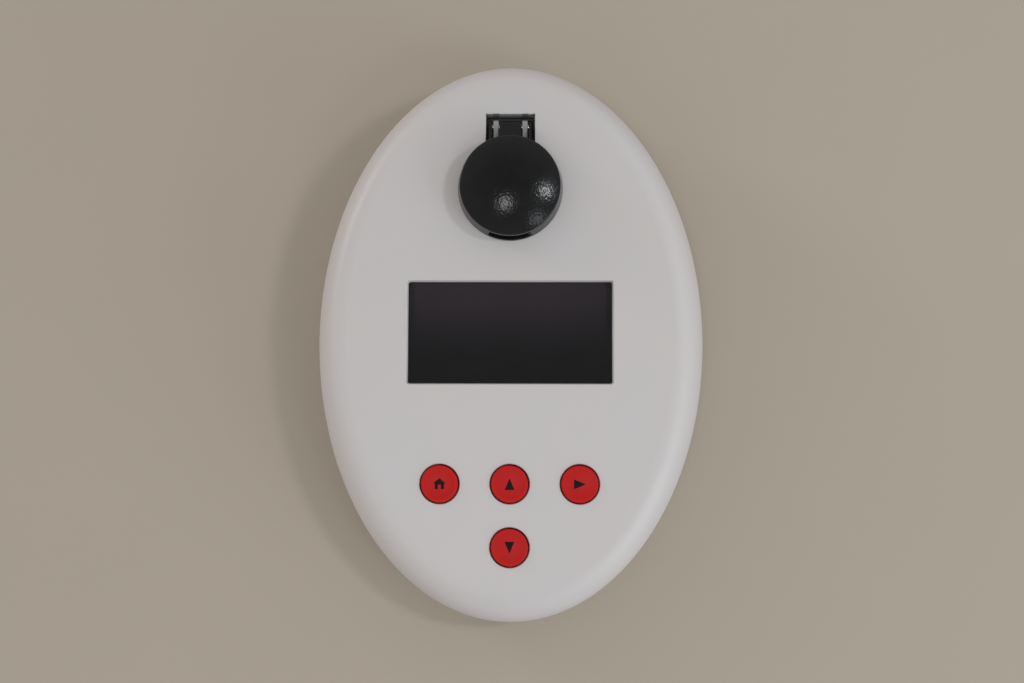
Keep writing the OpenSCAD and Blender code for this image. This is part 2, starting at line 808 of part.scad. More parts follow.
module keypad_ribbon() {
    start = face_point(keypad_socket_y + socket_l / 2, keypad_z - board_t - ribbon_level);
    finish = [keypad_main_socket_y + socket_l / 2, main_top + ribbon_level];
    color([0.55, 0.35, 0.12])
        ribbon([start, start + along_face(ribbon_out), finish + [ribbon_out, 0], finish],
            keypad_ribbon_w);
}

// A key's cap with its dished top, its flange and its stem.
module key() {
    cap_r = key_d / 2;
    rim_w = 0.9;
    edge = 0.35;
    dish_rim = cap_r - rim_w;
    dish_r = (dish_rim * dish_rim + key_dish * key_dish) / (2 * key_dish);
    color(KEY_RED) difference() {
        rotate_extrude() polygon([
            [0, plunger_top], [stem_d / 2, plunger_top], [stem_d / 2, flange_z],
            [flange_d / 2, flange_z], [flange_d / 2, flange_z + key_flange_t],
            [cap_r, flange_z + key_flange_t], [cap_r, key_rise - edge],
            [cap_r - edge, key_rise], [0, key_rise]]);
        translate([0, 0, key_rise - key_dish + dish_r]) sphere(r = dish_r, $fn = 120);
    }
}

module key_at(place) {
    on_face() translate([place.x, place.y, 0]) key();
}

module plunger_at(place) {
    color([0.12, 0.12, 0.12]) on_face() translate([place.x, place.y, 0])
        bar(plunger_d / 2, plunger_bottom, plunger_top);
}

module home_key() key_at(KEY_HOME);
module up_key() key_at(KEY_UP);
module go_key() key_at(KEY_GO);
module down_key() key_at(KEY_DOWN);
module home_plunger() plunger_at(KEY_HOME);
module up_plunger() plunger_at(KEY_UP);
module go_plunger() plunger_at(KEY_GO);
module down_plunger() plunger_at(KEY_DOWN);

module switch_bodies() {
    color([0.2, 0.2, 0.22]) on_face() at_points(KEYS) difference() {
        slab(switch_w, switch_w, keypad_z, switch_top);
        bar(plunger_d / 2 + run_gap, switch_top - plunger_bore, switch_top + beyond);
    }
}

module keypad_board() {
    bar_front = key_row_y - keypad_bar_l / 2;
    stem_front = KEY_DOWN.y - keypad_bar_l / 2;
    color(BOARD_GREEN) on_face() difference() {
        union() {
            translate([0, key_row_y, 0])
                slab(keypad_bar_w, keypad_bar_l, keypad_z - board_t, keypad_z);
            translate([-keypad_stem_w / 2, stem_front, keypad_z - board_t])
                cube([keypad_stem_w, bar_front - stem_front + beyond, board_t]);
        }
        at_points(KEYPAD_SCREWS)
            bar(screw_d / 2 + free_gap, keypad_z - board_t - beyond, keypad_z + beyond);
    }
}

module keypad_screws() {
    on_face() board_screws(KEYPAD_SCREWS, keypad_z - board_t);
}

// The collar that shows in the case under the lid, and the sleeve that holds a sample tube,
// turned in one piece. The bore and the cap's seat have lead-ins, and the light paths cross it.
module tube_well() {
    cone_low = well_floor - well_depth;
    flange_low = -wall - collar_flange_t;
    seat_r = cap_seat_d / 2;
    ring_r = collar_ring_d / 2;
    bore_r = well_d / 2;
    color(LID_BLACK) at_lid() difference() {
        rotate(profile_turn) rotate_extrude() polygon([
            [0, -well_depth], [sleeve_d / 2, -well_depth], [sleeve_d / 2, flange_low],
            [collar_flange_r, flange_low], [collar_flange_r, -wall], [collar_d / 2, -wall],
            [collar_d / 2, collar_top - edge_cut], [collar_d / 2 - edge_cut, collar_top],
            [ring_r, collar_top], [ring_r, collar_ring_h - edge_cut],
            [ring_r - edge_cut, collar_ring_h], [seat_r + lead_in, collar_ring_h],
            [seat_r, collar_ring_h - lead_in], [seat_r, -cap_seat_depth],
            [bore_r + lead_in, -cap_seat_depth], [bore_r, -cap_seat_depth - lead_in],
            [bore_r, cone_low + well_cone_h], [well_tip_r, cone_low], [0, cone_low]]);
        for (a = [0, 90]) translate([0, 0, -light_depth]) rotate([90, 0, a])
            cylinder(r = aperture_d / 2, h = sleeve_d + 2 * beyond, center = true);
    }
}

// Calls its children at the four light channels: local X runs out along the channel.
module at_channels(angles) {
    for (a = angles) translate([0, 0, -light_depth]) rotate([0, 0, a]) children();
}

// A round bar along local X between two distances.
module spoke(r, near, far) {
    translate([near, 0, 0]) rotate([0, 90, 0]) cylinder(r = r, h = far - near);
}

module optics_block() {
    neck_top = -wall - collar_flange_t;
    color([0.09, 0.09, 0.1]) at_lid() difference() {
        union() {
            slab(block_w, block_w, -block_depth, -block_top);
            slab(block_plate_w, block_w, -block_top - block_plate_t, -block_top);
            bar(collar_flange_r, -block_top - beyond, neck_top);
        }
        bar(sleeve_d / 2 + fit_gap, -well_depth - fit_gap, neck_top + beyond);
        at_channels([0, 90, 180, 270]) {
            spoke(aperture_d / 2, 0, block_w / 2);
            spoke(channel_d / 2, channel_start, block_w / 2 + beyond);
        }
        at_points(OPTICS_SCREWS)
            bar(screw_d / 2 + free_gap, -block_top - block_plate_t - beyond, -block_top + beyond);
    }
}

module optics_screws() {
    at_lid() board_screws(OPTICS_SCREWS, -block_top - block_plate_t);
}

// A domed lamp lying along its channel.
module lamp(shade, angle) {
    color(shade) at_lid() at_channels([angle]) {
        spoke(lamp_r, lamp_tip + lamp_r, block_w / 2);
        translate([lamp_tip + lamp_r, 0, 0]) sphere(r = lamp_r);
        spoke(lamp_flange_r, block_w / 2 - lamp_flange_t, block_w / 2);
    }
}

module blue_lamp() lamp([0.25, 0.45, 0.9], 0);
module red_lamp() lamp([0.85, 0.2, 0.2], 180);

module filters(shade, angles) {
    color(shade) at_lid() at_channels(angles)
        spoke(channel_d / 2 - fit_gap, channel_start, channel_start + filter_t);
}

module excitation_filters() filters([0.2, 0.4, 0.75], [0, 180]);
module emission_filters() filters([0.75, 0.5, 0.15], [90, 270]);

module photodiodes() {
    color(STEEL) at_lid() at_channels([90, 270])
        spoke(detector_r, lamp_tip, block_w / 2);
}

module optic_boards(angles) {
    color(BOARD_GREEN) at_lid() at_channels(angles)
        translate([block_w / 2, -optic_board_w / 2, -optic_board_w / 2])
            cube([board_t, optic_board_w, optic_board_w]);
}

module lamp_boards() optic_boards([0, 180]);
module detector_boards() optic_boards([90, 270]);

// The flexible strip wrapped round the four optic boards, with its tail to the main board.
module optics_flex() {
    inner = block_w + 2 * board_t;
    outer = inner + 2 * flex_t;
    start = face_point(lid_y - inner / 2 - flex_t / 2, -light_depth);
    finish = [optics_main_socket_y + socket_l / 2, main_top + ribbon_level];
    color([0.55, 0.35, 0.12]) {
        at_lid() translate([0, 0, -light_depth])
            square_ring(outer, outer, inner, inner, -flex_h / 2, flex_h / 2);
        ribbon([start, start - along_face(ribbon_out), finish + [ribbon_out, 0], finish],
            optics_ribbon_w);
    }
}

// The lid's outside: a drafted skirt under a shallow dome.
module lid_outside() {
    draft = (lid_r - rim_r) / (lid_rim_h - lid_gap);
    intersection() {
        translate([0, 0, lid_gap])
            cylinder(r1 = lid_r, r2 = rim_r - draft * dome_rise, h = dome_top - lid_gap, $fn = 96);
        translate([0, 0, dome_top - dome_r]) sphere(r = dome_r, $fn = 180);
    }
}

// A side view in [y, z] drawn at the lid, carried across by a width.
module across(width) {
    rotate([90, 0, 90]) linear_extrude(width, center = true) children();
}

// The web that joins a knuckle or an arm to the skirt.
module hinge_web(width) {
    across(width) polygon([
        [web_front, -hinge_depth - web_low], [hinge_reach, -hinge_depth - knuckle_r],
        [hinge_reach + knuckle_r * sin(30), -hinge_depth + knuckle_r * cos(30)],
        [lid_r - web_in, web_top], [web_front, web_top]]);
}

module lid_shell() {
    arm_middle = (arm_in + arm_out) / 2;
    color(LID_BLACK) at_lid() difference() {
        union() {
            difference() {
                lid_outside();
                intersection() {
                    bar(lid_cavity_r, -beyond, dome_top);
                    translate([0, 0, dome_top - dome_r]) sphere(r = dome_r - dome_t, $fn = 180);
                }
                translate([0, -rim_r - scoop_r + scoop_depth, 0])
                    bar(scoop_r, scoop_low, scoop_high);
            }
            hinge_web(knuckle_w);
            across_hinge(knuckle_r, knuckle_w);
            for (side = [-1, 1]) translate([side * arm_middle, 0, 0]) {
                hinge_web(arm_t);
                across_hinge(knuckle_r, arm_t);
            }
        }
        across_hinge(pin_d / 2 + run_gap, 3 * arm_out);
    }
}

module lid_liner() {
    color([0.1, 0.1, 0.105]) at_lid() difference() {
        union() {
            bar(lid_cavity_r - fit_gap, liner_top - liner_rim_t, liner_top);
            bar(trap_outer, trap_foot, liner_top);
        }
        bar(trap_inner, trap_foot - beyond, liner_top - liner_disc_t);
    }
}

module lid_seal() {
    color([0.16, 0.16, 0.17]) at_lid() difference() {
        bar(trap_inner - seal_side_gap, collar_ring_h + seal_gap, liner_top - liner_disc_t);
        bar(cap_seat_d / 2 - seal_lap, collar_ring_h, liner_top);
    }
}

module hinge_pin() {
    color(STEEL) at_lid() across_hinge(pin_d / 2, 2 * arm_out);
}

module main_board() {
    color(BOARD_GREEN) difference() {
        translate([-main_w / 2, main_front, main_z]) cube([main_w, main_rear - main_front, board_t]);
        at_points(MAIN_SCREWS) bar(screw_d / 2 + free_gap, main_z - beyond, main_top + beyond);
    }
}

// Screws with their heads on top of a level board.
module top_screws(points, level) {
    color(STEEL) at_points(points) translate([0, 0, level]) mirror([0, 0, 1])
        screw(screw_d, screw_l, small_head_r, small_head_t);
}

module main_screws() top_screws(MAIN_SCREWS, main_top);
module rear_board_screws() top_screws(REAR_SCREWS, socket_z);

module chip(x, w, l, h) {
    translate([x, chips_y, 0]) slab(w, l, main_top, main_top + h);
}

module processor() {
    color([0.1, 0.1, 0.11]) chip(0, processor_w, processor_w, processor_h);
}

module memory_chips() {
    color([0.1, 0.1, 0.11]) for (x = [-memory_x, memory_x]) chip(x, memory_w, memory_l, memory_h);
}

module capacitors() {
    color([0.25, 0.27, 0.33]) for (x = [-capacitor_x, capacitor_x]) translate([x, capacitor_y, 0])
        bar(capacitor_r, main_top, main_top + capacitor_h);
}

module ribbon_sockets() {
    color([0.82, 0.8, 0.74]) {
        for (s = [[lcd_main_socket_y, lcd_ribbon_w], [keypad_main_socket_y, keypad_ribbon_w],
                [optics_main_socket_y, optics_ribbon_w]])
            translate([0, s[0], 0])
                slab(s[1] + socket_margin, socket_l, main_top, main_top + socket_h);
        on_face() {
            translate([0, lcd_socket_y, lcd_board_z - board_t])
                slab(lcd_ribbon_w + socket_margin, socket_l, -socket_h, 0);
            translate([0, keypad_socket_y, keypad_z - board_t])
                slab(keypad_ribbon_w + socket_margin, socket_l, -socket_h, 0);
        }
    }
}

// The sockets that the leads plug into, a pair on each board.
module lead_sockets() {
    color([0.82, 0.8, 0.74]) for (x = [-lead_x, lead_x], place = [
            [lead_start, lead_start + socket_l, socket_z], [lead_end - socket_l, lead_end, main_top]])
        translate([x - lead_socket_w / 2, place[0], place[2]])
            cube([lead_socket_w, place[1] - place[0], lead_socket_h]);
}

module rear_board() {
    color(BOARD_GREEN) difference() {
        translate([-rear_board_w / 2, rear_board_front, rear_board_z])
            cube([rear_board_w, rear_board_back - rear_board_front, board_t]);
        at_points(REAR_SCREWS)
            bar(screw_d / 2 + free_gap, rear_board_z - beyond, socket_z + beyond);
    }
}

// A USB type B socket: a shell with a tongue in its mouth.
module usb_socket() {
    tongue_gap = 0.5;
    color(STEEL) translate([-socket_pitch / 2, recess_back, socket_z]) difference() {
        across_block(usb_w, usb_l, 0, usb_h);
        difference() {
            across_block(usb_mouth_w, usb_mouth_l, (usb_h - usb_mouth_h) / 2, usb_mouth_h, beyond);
            translate([0, -tongue_gap, 0])
                across_block(usb_tongue_w, usb_l, (usb_h - usb_tongue_h) / 2, usb_tongue_h);
        }
    }
}

// A block that reaches forward from Y = out, centred on X and standing at a level.
module across_block(w, l, level, h, out = 0) {
    translate([-w / 2, -l, level]) cube([w, l + out, h]);
}

// A barrel jack: a block with a round hole and a pin in it.
module power_jack() {
    pin_gap = 0.6;
    color([0.08, 0.08, 0.08]) translate([socket_pitch / 2, recess_back, socket_z]) difference() {
        across_block(jack_w, jack_l, 0, jack_h);
        translate([0, 0, jack_h / 2]) rotate([90, 0, 0]) difference() {
            bar(jack_bore_d / 2, -beyond, jack_bore_l);
            bar(jack_pin_d / 2, pin_gap, jack_l);
        }
    }
}

// A pair of leads along the route, on the side given.
module leads(side) {
    for (k = [0, 1]) lead([for (p = LEAD_ROUTE) [side * p.x, p.y, p.z + k * lead_pitch]]);
}

// A lead as an eight-sided tube, with one upright ring at each point of its way.
module lead(points) {
    sides = 8;
    ends = len(points) - 1;
    function at(ring, i) = ring * sides + i % sides;
    rings = [for (p = points, i = [0 : sides - 1])
        let (a = -i * 360 / sides)
        p + lead_r * [cos(a), 0, sin(a)]];
    skin = [for (k = [0 : ends - 1], i = [0 : sides - 1])
        each [
            [at(k, i), at(k + 1, i), at(k + 1, i + 1)],
            [at(k, i), at(k + 1, i + 1), at(k, i + 1)]]];
    near_cap = [for (i = [0 : sides - 1]) i];
    far_cap = [for (i = [sides - 1 : -1 : 0]) at(ends, i)];
    polyhedron(points = rings, faces = concat(skin, [near_cap, far_cap]));
}

module power_leads() {
    color([0.7, 0.1, 0.1]) leads(1);
}

module data_leads() {
    color([0.15, 0.3, 0.6]) leads(-1);
}

top_housing();
bottom_housing();
rubber_feet();
case_screws();
display_window();
window_gasket();
display_frame();
display_glass();
backlight();
display_board();
display_screws();
display_ribbon();
home_key();
up_key();
go_key();
down_key();
home_plunger();
up_plunger();
go_plunger();
down_plunger();
switch_bodies();
keypad_board();
keypad_screws();
keypad_ribbon();
tube_well();
optics_block();
optics_screws();
blue_lamp();
red_lamp();
excitation_filters();
emission_filters();
photodiodes();
lamp_boards();
detector_boards();
optics_flex();
lid_shell();
lid_liner();
lid_seal();
hinge_pin();
main_board();
processor();
memory_chips();
capacitors();
ribbon_sockets();
lead_sockets();
main_screws();
rear_board();
usb_socket();
power_jack();
rear_board_screws();
power_leads();
data_leads();
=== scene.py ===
"""Looks of a benchtop fluorometer: an oval case with a display, four keys and a hinged lid.

The frame gives the solids at their real size. This add-on draws what shows as smooth surfaces in the
same place, in metres, and gives every piece its finish. The case is a stack of ovals, the round pieces
are turned profiles, and openings are cut with solids.
"""

import json
import math

import bmesh
import bpy
import numpy as np
from mathutils import Matrix, Vector


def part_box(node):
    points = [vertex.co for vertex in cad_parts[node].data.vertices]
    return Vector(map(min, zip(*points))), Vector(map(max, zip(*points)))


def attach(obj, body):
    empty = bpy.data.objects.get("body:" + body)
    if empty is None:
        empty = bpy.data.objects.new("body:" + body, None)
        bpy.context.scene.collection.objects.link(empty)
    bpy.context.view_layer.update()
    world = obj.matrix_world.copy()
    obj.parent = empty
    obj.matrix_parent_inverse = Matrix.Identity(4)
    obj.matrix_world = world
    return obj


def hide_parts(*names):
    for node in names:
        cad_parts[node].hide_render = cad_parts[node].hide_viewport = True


bl_info = {
    "name": "Benchtop fluorometer",
    "version": (1, 0, 0),
    "blender": (4, 5, 0),
    "location": "View3D > Sidebar > Fluorometer",
    "description": "Dresses the solids of a benchtop fluorometer and sets them on a stage",
    "category": "Object",
}

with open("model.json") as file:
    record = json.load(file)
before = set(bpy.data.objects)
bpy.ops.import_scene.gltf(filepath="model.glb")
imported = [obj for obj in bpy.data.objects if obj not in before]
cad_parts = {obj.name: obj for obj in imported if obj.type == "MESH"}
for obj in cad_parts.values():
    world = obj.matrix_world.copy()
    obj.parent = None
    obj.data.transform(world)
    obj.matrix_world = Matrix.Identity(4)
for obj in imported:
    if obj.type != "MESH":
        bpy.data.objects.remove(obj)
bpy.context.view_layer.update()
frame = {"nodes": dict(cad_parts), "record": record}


def low(node, axis):
    """The lowest coordinate of a node of the frame along an axis."""
    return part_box(node)[0][axis]


def high(node, axis):
    """The highest coordinate of a node of the frame along an axis."""
    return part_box(node)[1][axis]


X, Y, Z = range(3)
MM = 0.001
# How far a cutter reaches past what it cuts, and how near a turned profile comes to its axis.
BEYOND = 1 * MM
AXIS = 0.01 * MM
# Segments round each kind of round piece.
CASE_SEGMENTS = 256
SCOOP_SEGMENTS = 256
LID_SEGMENTS = 192
TURNED_SEGMENTS = 128
KEY_SEGMENTS = 96
FOOT_SEGMENTS = 72
PIN_SEGMENTS = 64
POST_SEGMENTS = 48
HOLE_SEGMENTS = 32
THREAD_SEGMENTS = 24
# Steps over an edge's round, up the shoulder and the base, over the dish, the dome and the ears, and
# along a side of a sign.
ROUND_STEPS = 4
SHOULDER_STEPS = 36
BASE_STEPS = 24
DISH_STEPS = 14
DOME_STEPS = 32
EAR_STEPS = 12
SIGN_STEPS = 6
# A cutter's round stops just short of level, so that it never lies in the face that it cuts.
ROUND_END = math.radians(80)
# Faces that meet at more than this stay a sharp edge.
CREASE = math.radians(32)
# How quickly the shoulder widens from the sides to the back.
BLEND_POWER = 2
# Points nearer than this are one, and faces that meet at less than this are one.
SAME_POINT = 0.002 * MM
SAME_FACE = math.radians(0.5)
# The lid's liner and its light trap, and the seal under it, above the face.
LINER_TOP = 7.6 * MM
LINER_RIM = 1.2 * MM
LINER_FLOOR = 4.5 * MM
LINER_GAP = 0.05 * MM
TRAP_IN = 9.2 * MM
TRAP_OUT = 11 * MM
TRAP_FOOT = 0.8 * MM
SEAL_IN = 4.8 * MM
SEAL_OUT = 8.6 * MM
SEAL_GAP = 0.3 * MM
# The pin's gaps in the ears and in the arms, and how far the web's back leans and enters the skirt.
EAR_GAP = 0.02 * MM
ARM_GAP = 0.06 * MM
WEB_LEAN = math.radians(30)
WEB_OVERLAP = 0.4 * MM
# A wave texture turns this many radians over one unit at scale 1.
WAVE_TURN = 20
# How many cuts a bevel has, on a drawn piece and on a copy of a solid.
BEVEL_STEPS = 3
COPY_STEPS = 2
# Light from nearer than this to the floor passes it, so that the underside can be looked at.
CLOSE = 4.5 * MM
# Rounds of the small edges.
SHELL_EDGE = 0.12 * MM
FINE_EDGE = 0.15 * MM
SMALL_EDGE = 0.2 * MM
SOFT_EDGE = 0.25 * MM
FULL_EDGE = 0.3 * MM
FOOT_EDGE = 0.5 * MM
# The posts under the boards' screws and the case's, their threads, and how far a board's screw reaches.
POST = 3 * MM
THREAD = 1.3 * MM
THREAD_REACH = 4.4 * MM
CASE_POST = 4.3 * MM
CASE_THREAD = 1.55 * MM
# The wall round the hinge slot, the gap round a socket, and the slack between the two case halves.
SLOT_WALL = 1.5 * MM
SOCKET_GAP = 0.2 * MM
REBATE_GAP = 0.1 * MM
# A foot's groove, as shares of its radius, and how far the foot stands clear of its seat's wall.
GROOVE_IN = 0.52
GROOVE_OUT = 0.62
FOOT_GAP = 0.05 * MM
# Half the floor's side, the camera's sensor in millimetres, and the colour of the light all round.
FLOOR_HALF = 2.5
SENSOR = 36
SKY = (0.985, 0.99, 1.0, 1.0)
# Each lamp's colour, place and width; it points at the origin.
LAMPS = {
    "key": ((0.93, 0.97, 1.0), (0.775, 0.04, 1.09), 0.17),
    "top": ((1.0, 0.97, 0.95), (-0.135, -0.30, 1.29), 0.2),
    "front": ((0.84, 0.93, 1.0), (0.60, -0.59, 1.0), 0.25),
    "low": ((0.82, 0.91, 1.0), (1.5, -0.95, 0.55), 1.0),
    "side": ((1.0, 0.96, 0.92), (-1.5, 0.85, 0.4), 0.6),
}
# How deep a sign is sunk, and half an arrow's width as a share of its height.
SIGN_SINK = 0.08 * MM
ARROW_HALF = 0.42


# ---------------------------------------------------------------------------------------------------
# Sizes


def number(name, description, default, **kind):
    """A plain number."""
    return bpy.props.FloatProperty(name=name, description=description, default=default, **kind)


def place(name, description, default, **kind):
    """A place along an axis, in metres, on either side of its origin."""
    return number(name, description, default, precision=5, subtype="DISTANCE", unit="LENGTH", **kind)


def length(name, description, default):
    """A length, in metres."""
    return place(name, description, default, min=0)


def angle(name, description, degrees):
    """An angle, given in degrees."""
    return number(name, description, math.radians(degrees), subtype="ANGLE", unit="ROTATION")


def power(name, lamp, default):
    """A lamp's power."""
    return number(name, "Power of the %s, in watts" % lamp, default, min=0)


def colour(name, description, default):
    """A colour, as linear red, green and blue."""
    return bpy.props.FloatVectorProperty(
        name=name, description=description, default=default, size=3, min=0, max=1, subtype="COLOR")


class CaseSizes(bpy.types.PropertyGroup):
    """The two halves of the oval case."""

    width: length("Width", "Across the case", high("top_housing", X) - low("top_housing", X))
    depth: length("Depth", "Front to back", high("top_housing", Y) - low("top_housing", Y))
    face_height: length("Face height", "Height of the face above the middle of the case", 38 * MM)
    face_tilt: angle("Face tilt", "Slope of the face, up to the back", 5.5)
    seam: length("Seam height", "Height of the joint between the two halves", 16 * MM)
    wall: length("Wall", "Thickness of the moulded wall", 2.5 * MM)
    side_shoulder: length("Side shoulder", "Width of the shoulder at the sides and front", 9.5 * MM)
    rear_shoulder: length("Rear shoulder", "Width of the shoulder at the back", 15 * MM)
    side_crown: number("Side crown", "How early the side shoulder stops short of level", 1.3)
    rear_crown: number("Rear crown", "How early the rear shoulder stops short of level", 1.02)
    blend: length("Blend", "How far each side of its edge the face is blended into the shoulder", 3.5 * MM)
    base_inset: length("Base inset", "How far the base draws in to its flat", 10 * MM)
    foot_height: length("Foot height", "Gap under the base", low("bottom_housing", Z))
    seam_step: length("Seam step", "How far the lower half stands in from the upper", 0.4 * MM)
    seam_groove: length("Seam groove", "Height of the shadow line at the seam", 0.6 * MM)
    tongue: length("Tongue", "Depth of the upper half's tongue", 1.6 * MM)
    tongue_wall: length("Tongue wall", "Thickness of the tongue", 1 * MM)
    edge_round: length("Edge round", "Round of the moulded edges", 0.35 * MM)
    recess_width: length("Recess width", "Width of the socket recess", 45 * MM)
    recess_front: length("Recess front", "Where the socket recess ends inside", high("usb_socket", Y))
    recess_low: length("Recess floor", "Height of the recess's floor", 17.5 * MM)
    recess_high: length("Recess top", "Height of the recess's ceiling", 31.5 * MM)


class DisplaySizes(bpy.types.PropertyGroup):
    """The opening over the display."""

    width: length("Width", "Across the opening", 75.5 * MM)
    height: length("Height", "Up the face", 38 * MM)
    offset: place("Offset", "Centre of the opening up the face", -0.8 * MM)
    corner: length("Corner", "Round of the opening's corners", 0.8 * MM)
    draft: length("Draft", "How far the opening narrows through the wall", 0.5 * MM)
    edge_round: length("Edge round", "Round of the opening's edge", 0.25 * MM)


class KeySizes(bpy.types.PropertyGroup):
    """The four round keys."""

    diameter: length("Diameter", "Across a key's cap", 13.4 * MM)
    hole: length("Hole", "Across the hole round a key", 14.5 * MM)
    rise: length("Rise", "How far a key stands out of the face", 0.7 * MM)
    dish: length("Dish", "Depth of the dished top", 0.5 * MM)
    rim: length("Rim", "Width of the flat rim round the dish", 0.9 * MM)
    edge: length("Edge", "Round of the cap's edge", 0.35 * MM)
    flange: length("Flange", "Across the flange under the face", 17.5 * MM)
    flange_depth: length("Flange depth", "Depth of the flange's underside", 3.8 * MM)
    flange_thickness: length("Flange thickness", "Thickness of the flange", 1.2 * MM)
    stem: length("Stem", "Across the stem", 5 * MM)
    stem_depth: length("Stem depth", "Depth of the stem's foot", 6.2 * MM)
    pitch_x: length("Pitch across", "Between the keys of the row", 25.4 * MM)
    pitch_y: length("Pitch down", "From the row to the key below it", 22.8 * MM)
    row: place("Row", "Place of the row up the face", -56 * MM)
    sign: length("Sign", "Height of the sign on a key", 4.2 * MM)
    ink: length("Ink", "Thickness of the printed sign", 0.03 * MM)


class FeetSizes(bpy.types.PropertyGroup):
    """The feet and the screw wells beside them."""

    diameter: length("Diameter", "Across a foot's seat", 14 * MM)
    draft: length("Draft", "How far a foot narrows to its tread", 0.6 * MM)
    seat: length("Seat", "Depth of a foot's seat in the base", 1 * MM)
    groove: length("Groove", "Depth of the ring groove in a foot's tread", 0.4 * MM)
    screw_well: length("Screw well", "Across the well round a screw's head", 6.4 * MM)
    screw_well_depth: length("Screw well depth", "Depth of that well", 5 * MM)


class LidSizes(bpy.types.PropertyGroup):
    """The hinged lid and what it closes over."""

    place: length("Place", "Centre of the lid up the face from the middle", 52 * MM)
    foot: length("Foot", "Across the foot of the skirt", 38.6 * MM)
    rim: length("Rim", "Across the rim of the dome", 36.6 * MM)
    rim_height: length("Rim height", "Height of the dome's rim", 8.6 * MM)
    top: length("Top", "Height of the dome", 12.8 * MM)
    gap: length("Gap", "Gap between the skirt and the face", 0.4 * MM)
    cavity: length("Cavity", "Radius of the hollow inside", 14.5 * MM)
    dome_wall: length("Dome wall", "Thickness of the dome", 2.4 * MM)
    rim_round: length("Rim round", "Round between the dome and the skirt", 0.7 * MM)
    scoop: length("Scoop", "Radius of the finger scoop", 16 * MM)
    scoop_depth: length("Scoop depth", "How far the finger scoop cuts in", 3.2 * MM)
    scoop_low: length("Scoop floor", "Where the finger scoop starts", 1.8 * MM)
    scoop_high: length("Scoop top", "Where the finger scoop ends", 7.1 * MM)
    hinge_reach: length("Hinge reach", "From the lid's centre to the hinge pin", 23.6 * MM)
    hinge_depth: length("Hinge depth", "Depth of the pin below the face", 2.2 * MM)
    pin: length("Pin", "Across the hinge pin", 2.4 * MM)
    knuckle: length("Knuckle", "Radius of the lid's knuckle", 2.4 * MM)
    knuckle_width: length("Knuckle width", "Width of the lid's knuckle", 8.2 * MM)
    ear_in: length("Ear inside", "Where the case's ear starts", 4.4 * MM)
    ear_out: length("Ear outside", "Where the case's ear ends", 6.3 * MM)
    ear_round: length("Ear round", "Radius of the ear's top", 2.6 * MM)
    ear_front: length("Ear front", "Where the ear starts, from the lid's centre", 17.5 * MM)
    arm_in: length("Arm inside", "Where the lid's side arm starts", 6.7 * MM)
    arm_out: length("Arm outside", "Where the lid's side arm ends", 7.8 * MM)
    web_front: length("Web front", "Where the hinge web starts", 16.3 * MM)
    web_top: length("Web top", "Where the web meets the skirt", 2.4 * MM)
    web_low: length("Web underside", "How far the web reaches under the pin", 1.8 * MM)
    slot_half: length("Slot half width", "Half the width of the hinge slot", 8.9 * MM)
    slot_front: length("Slot front", "Where the slot starts, from the lid's centre", 15.5 * MM)
    slot_back: length("Slot back", "Where the slot ends, from the lid's centre", 28.2 * MM)
    slot_depth: length("Slot depth", "Depth of the hinge slot", 7.5 * MM)


class WellSizes(bpy.types.PropertyGroup):
    """The tube well under the lid."""

    collar: length("Collar", "Across the collar", 24 * MM)
    collar_hole: length("Collar hole", "Across the hole in the face", 24.3 * MM)
    collar_top: length("Collar top", "How far the collar stands out", 0.5 * MM)
    ring: length("Ring", "Across the raised ring", 16 * MM)
    ring_top: length("Ring top", "Height of the raised ring", 3 * MM)
    seat: length("Seat", "Across the seat for a tube's cap", 11.6 * MM)
    seat_depth: length("Seat depth", "Depth of the cap's seat", 1.5 * MM)
    bore: length("Bore", "Across the bore for the tube", 8 * MM)
    bore_end: length("Bore end", "Where the bore starts to narrow", 28.5 * MM)
    tip: length("Tip", "Radius of the bore's foot", 1.5 * MM)
    floor: length("Floor", "Depth of the bore's foot", 32.5 * MM)
    sleeve: length("Sleeve", "Across the sleeve", 12 * MM)
    sleeve_end: length("Sleeve end", "Depth of the sleeve", 34 * MM)
    flange: length("Flange", "Radius of the flange under the face", 13.2 * MM)
    flange_depth: length("Flange depth", "Depth of the flange", 4.5 * MM)
    edge: length("Edge", "Round of the turned edges", 0.3 * MM)
    lead_in: length("Lead-in", "Chamfer at the bore's mouths", 0.4 * MM)
    light_depth: length("Light path depth", "Depth of the four light paths", 26 * MM)
    light_path: length("Light path", "Across a light path", 3 * MM)


class Colours(bpy.types.PropertyGroup):
    """Colours that a user would change."""

    case: colour("Case", "Warm white moulding", (0.515, 0.492, 0.482))
    keys: colour("Keys", "Red moulding", (0.44, 0.007, 0.006))
    lid: colour("Lid", "Black moulding", (0.0045, 0.0045, 0.0046))
    floor: colour("Floor", "Stage floor", (0.4, 0.344, 0.28))


class StageSizes(bpy.types.PropertyGroup):
    """Camera and lamps."""

    lens: number("Lens", "Focal length", 48.73, subtype="DISTANCE_CAMERA")
    distance: length("Distance", "From the camera to what it looks at", 0.5133)
    tilt: angle("Tilt", "Camera's lean from straight down", 10.2)
    side: angle("Side", "Turn of that lean round the upright", 4.66)
    roll: angle("Roll", "Camera's turn about its own axis", -4.51)
    target: bpy.props.FloatVectorProperty(
        name="Target", description="What the camera looks at", default=(0.00064, -0.002853, 0.030),
        subtype="TRANSLATION", unit="LENGTH", precision=5)
    key_light: power("Key light", "main lamp", 2.9)
    top_light: power("Top light", "lamp overhead", 1.9)
    front_light: power("Front light", "front lamp", 0.9)
    low_light: power("Low light", "low lamp at the front right", 9)
    side_light: power("Side light", "low lamp at the back left", 6)
    horizon: number("Horizon", "Strength of the light from the sides", 1.05)
    overhead: number("Overhead", "Strength of the light from above", 0.34)


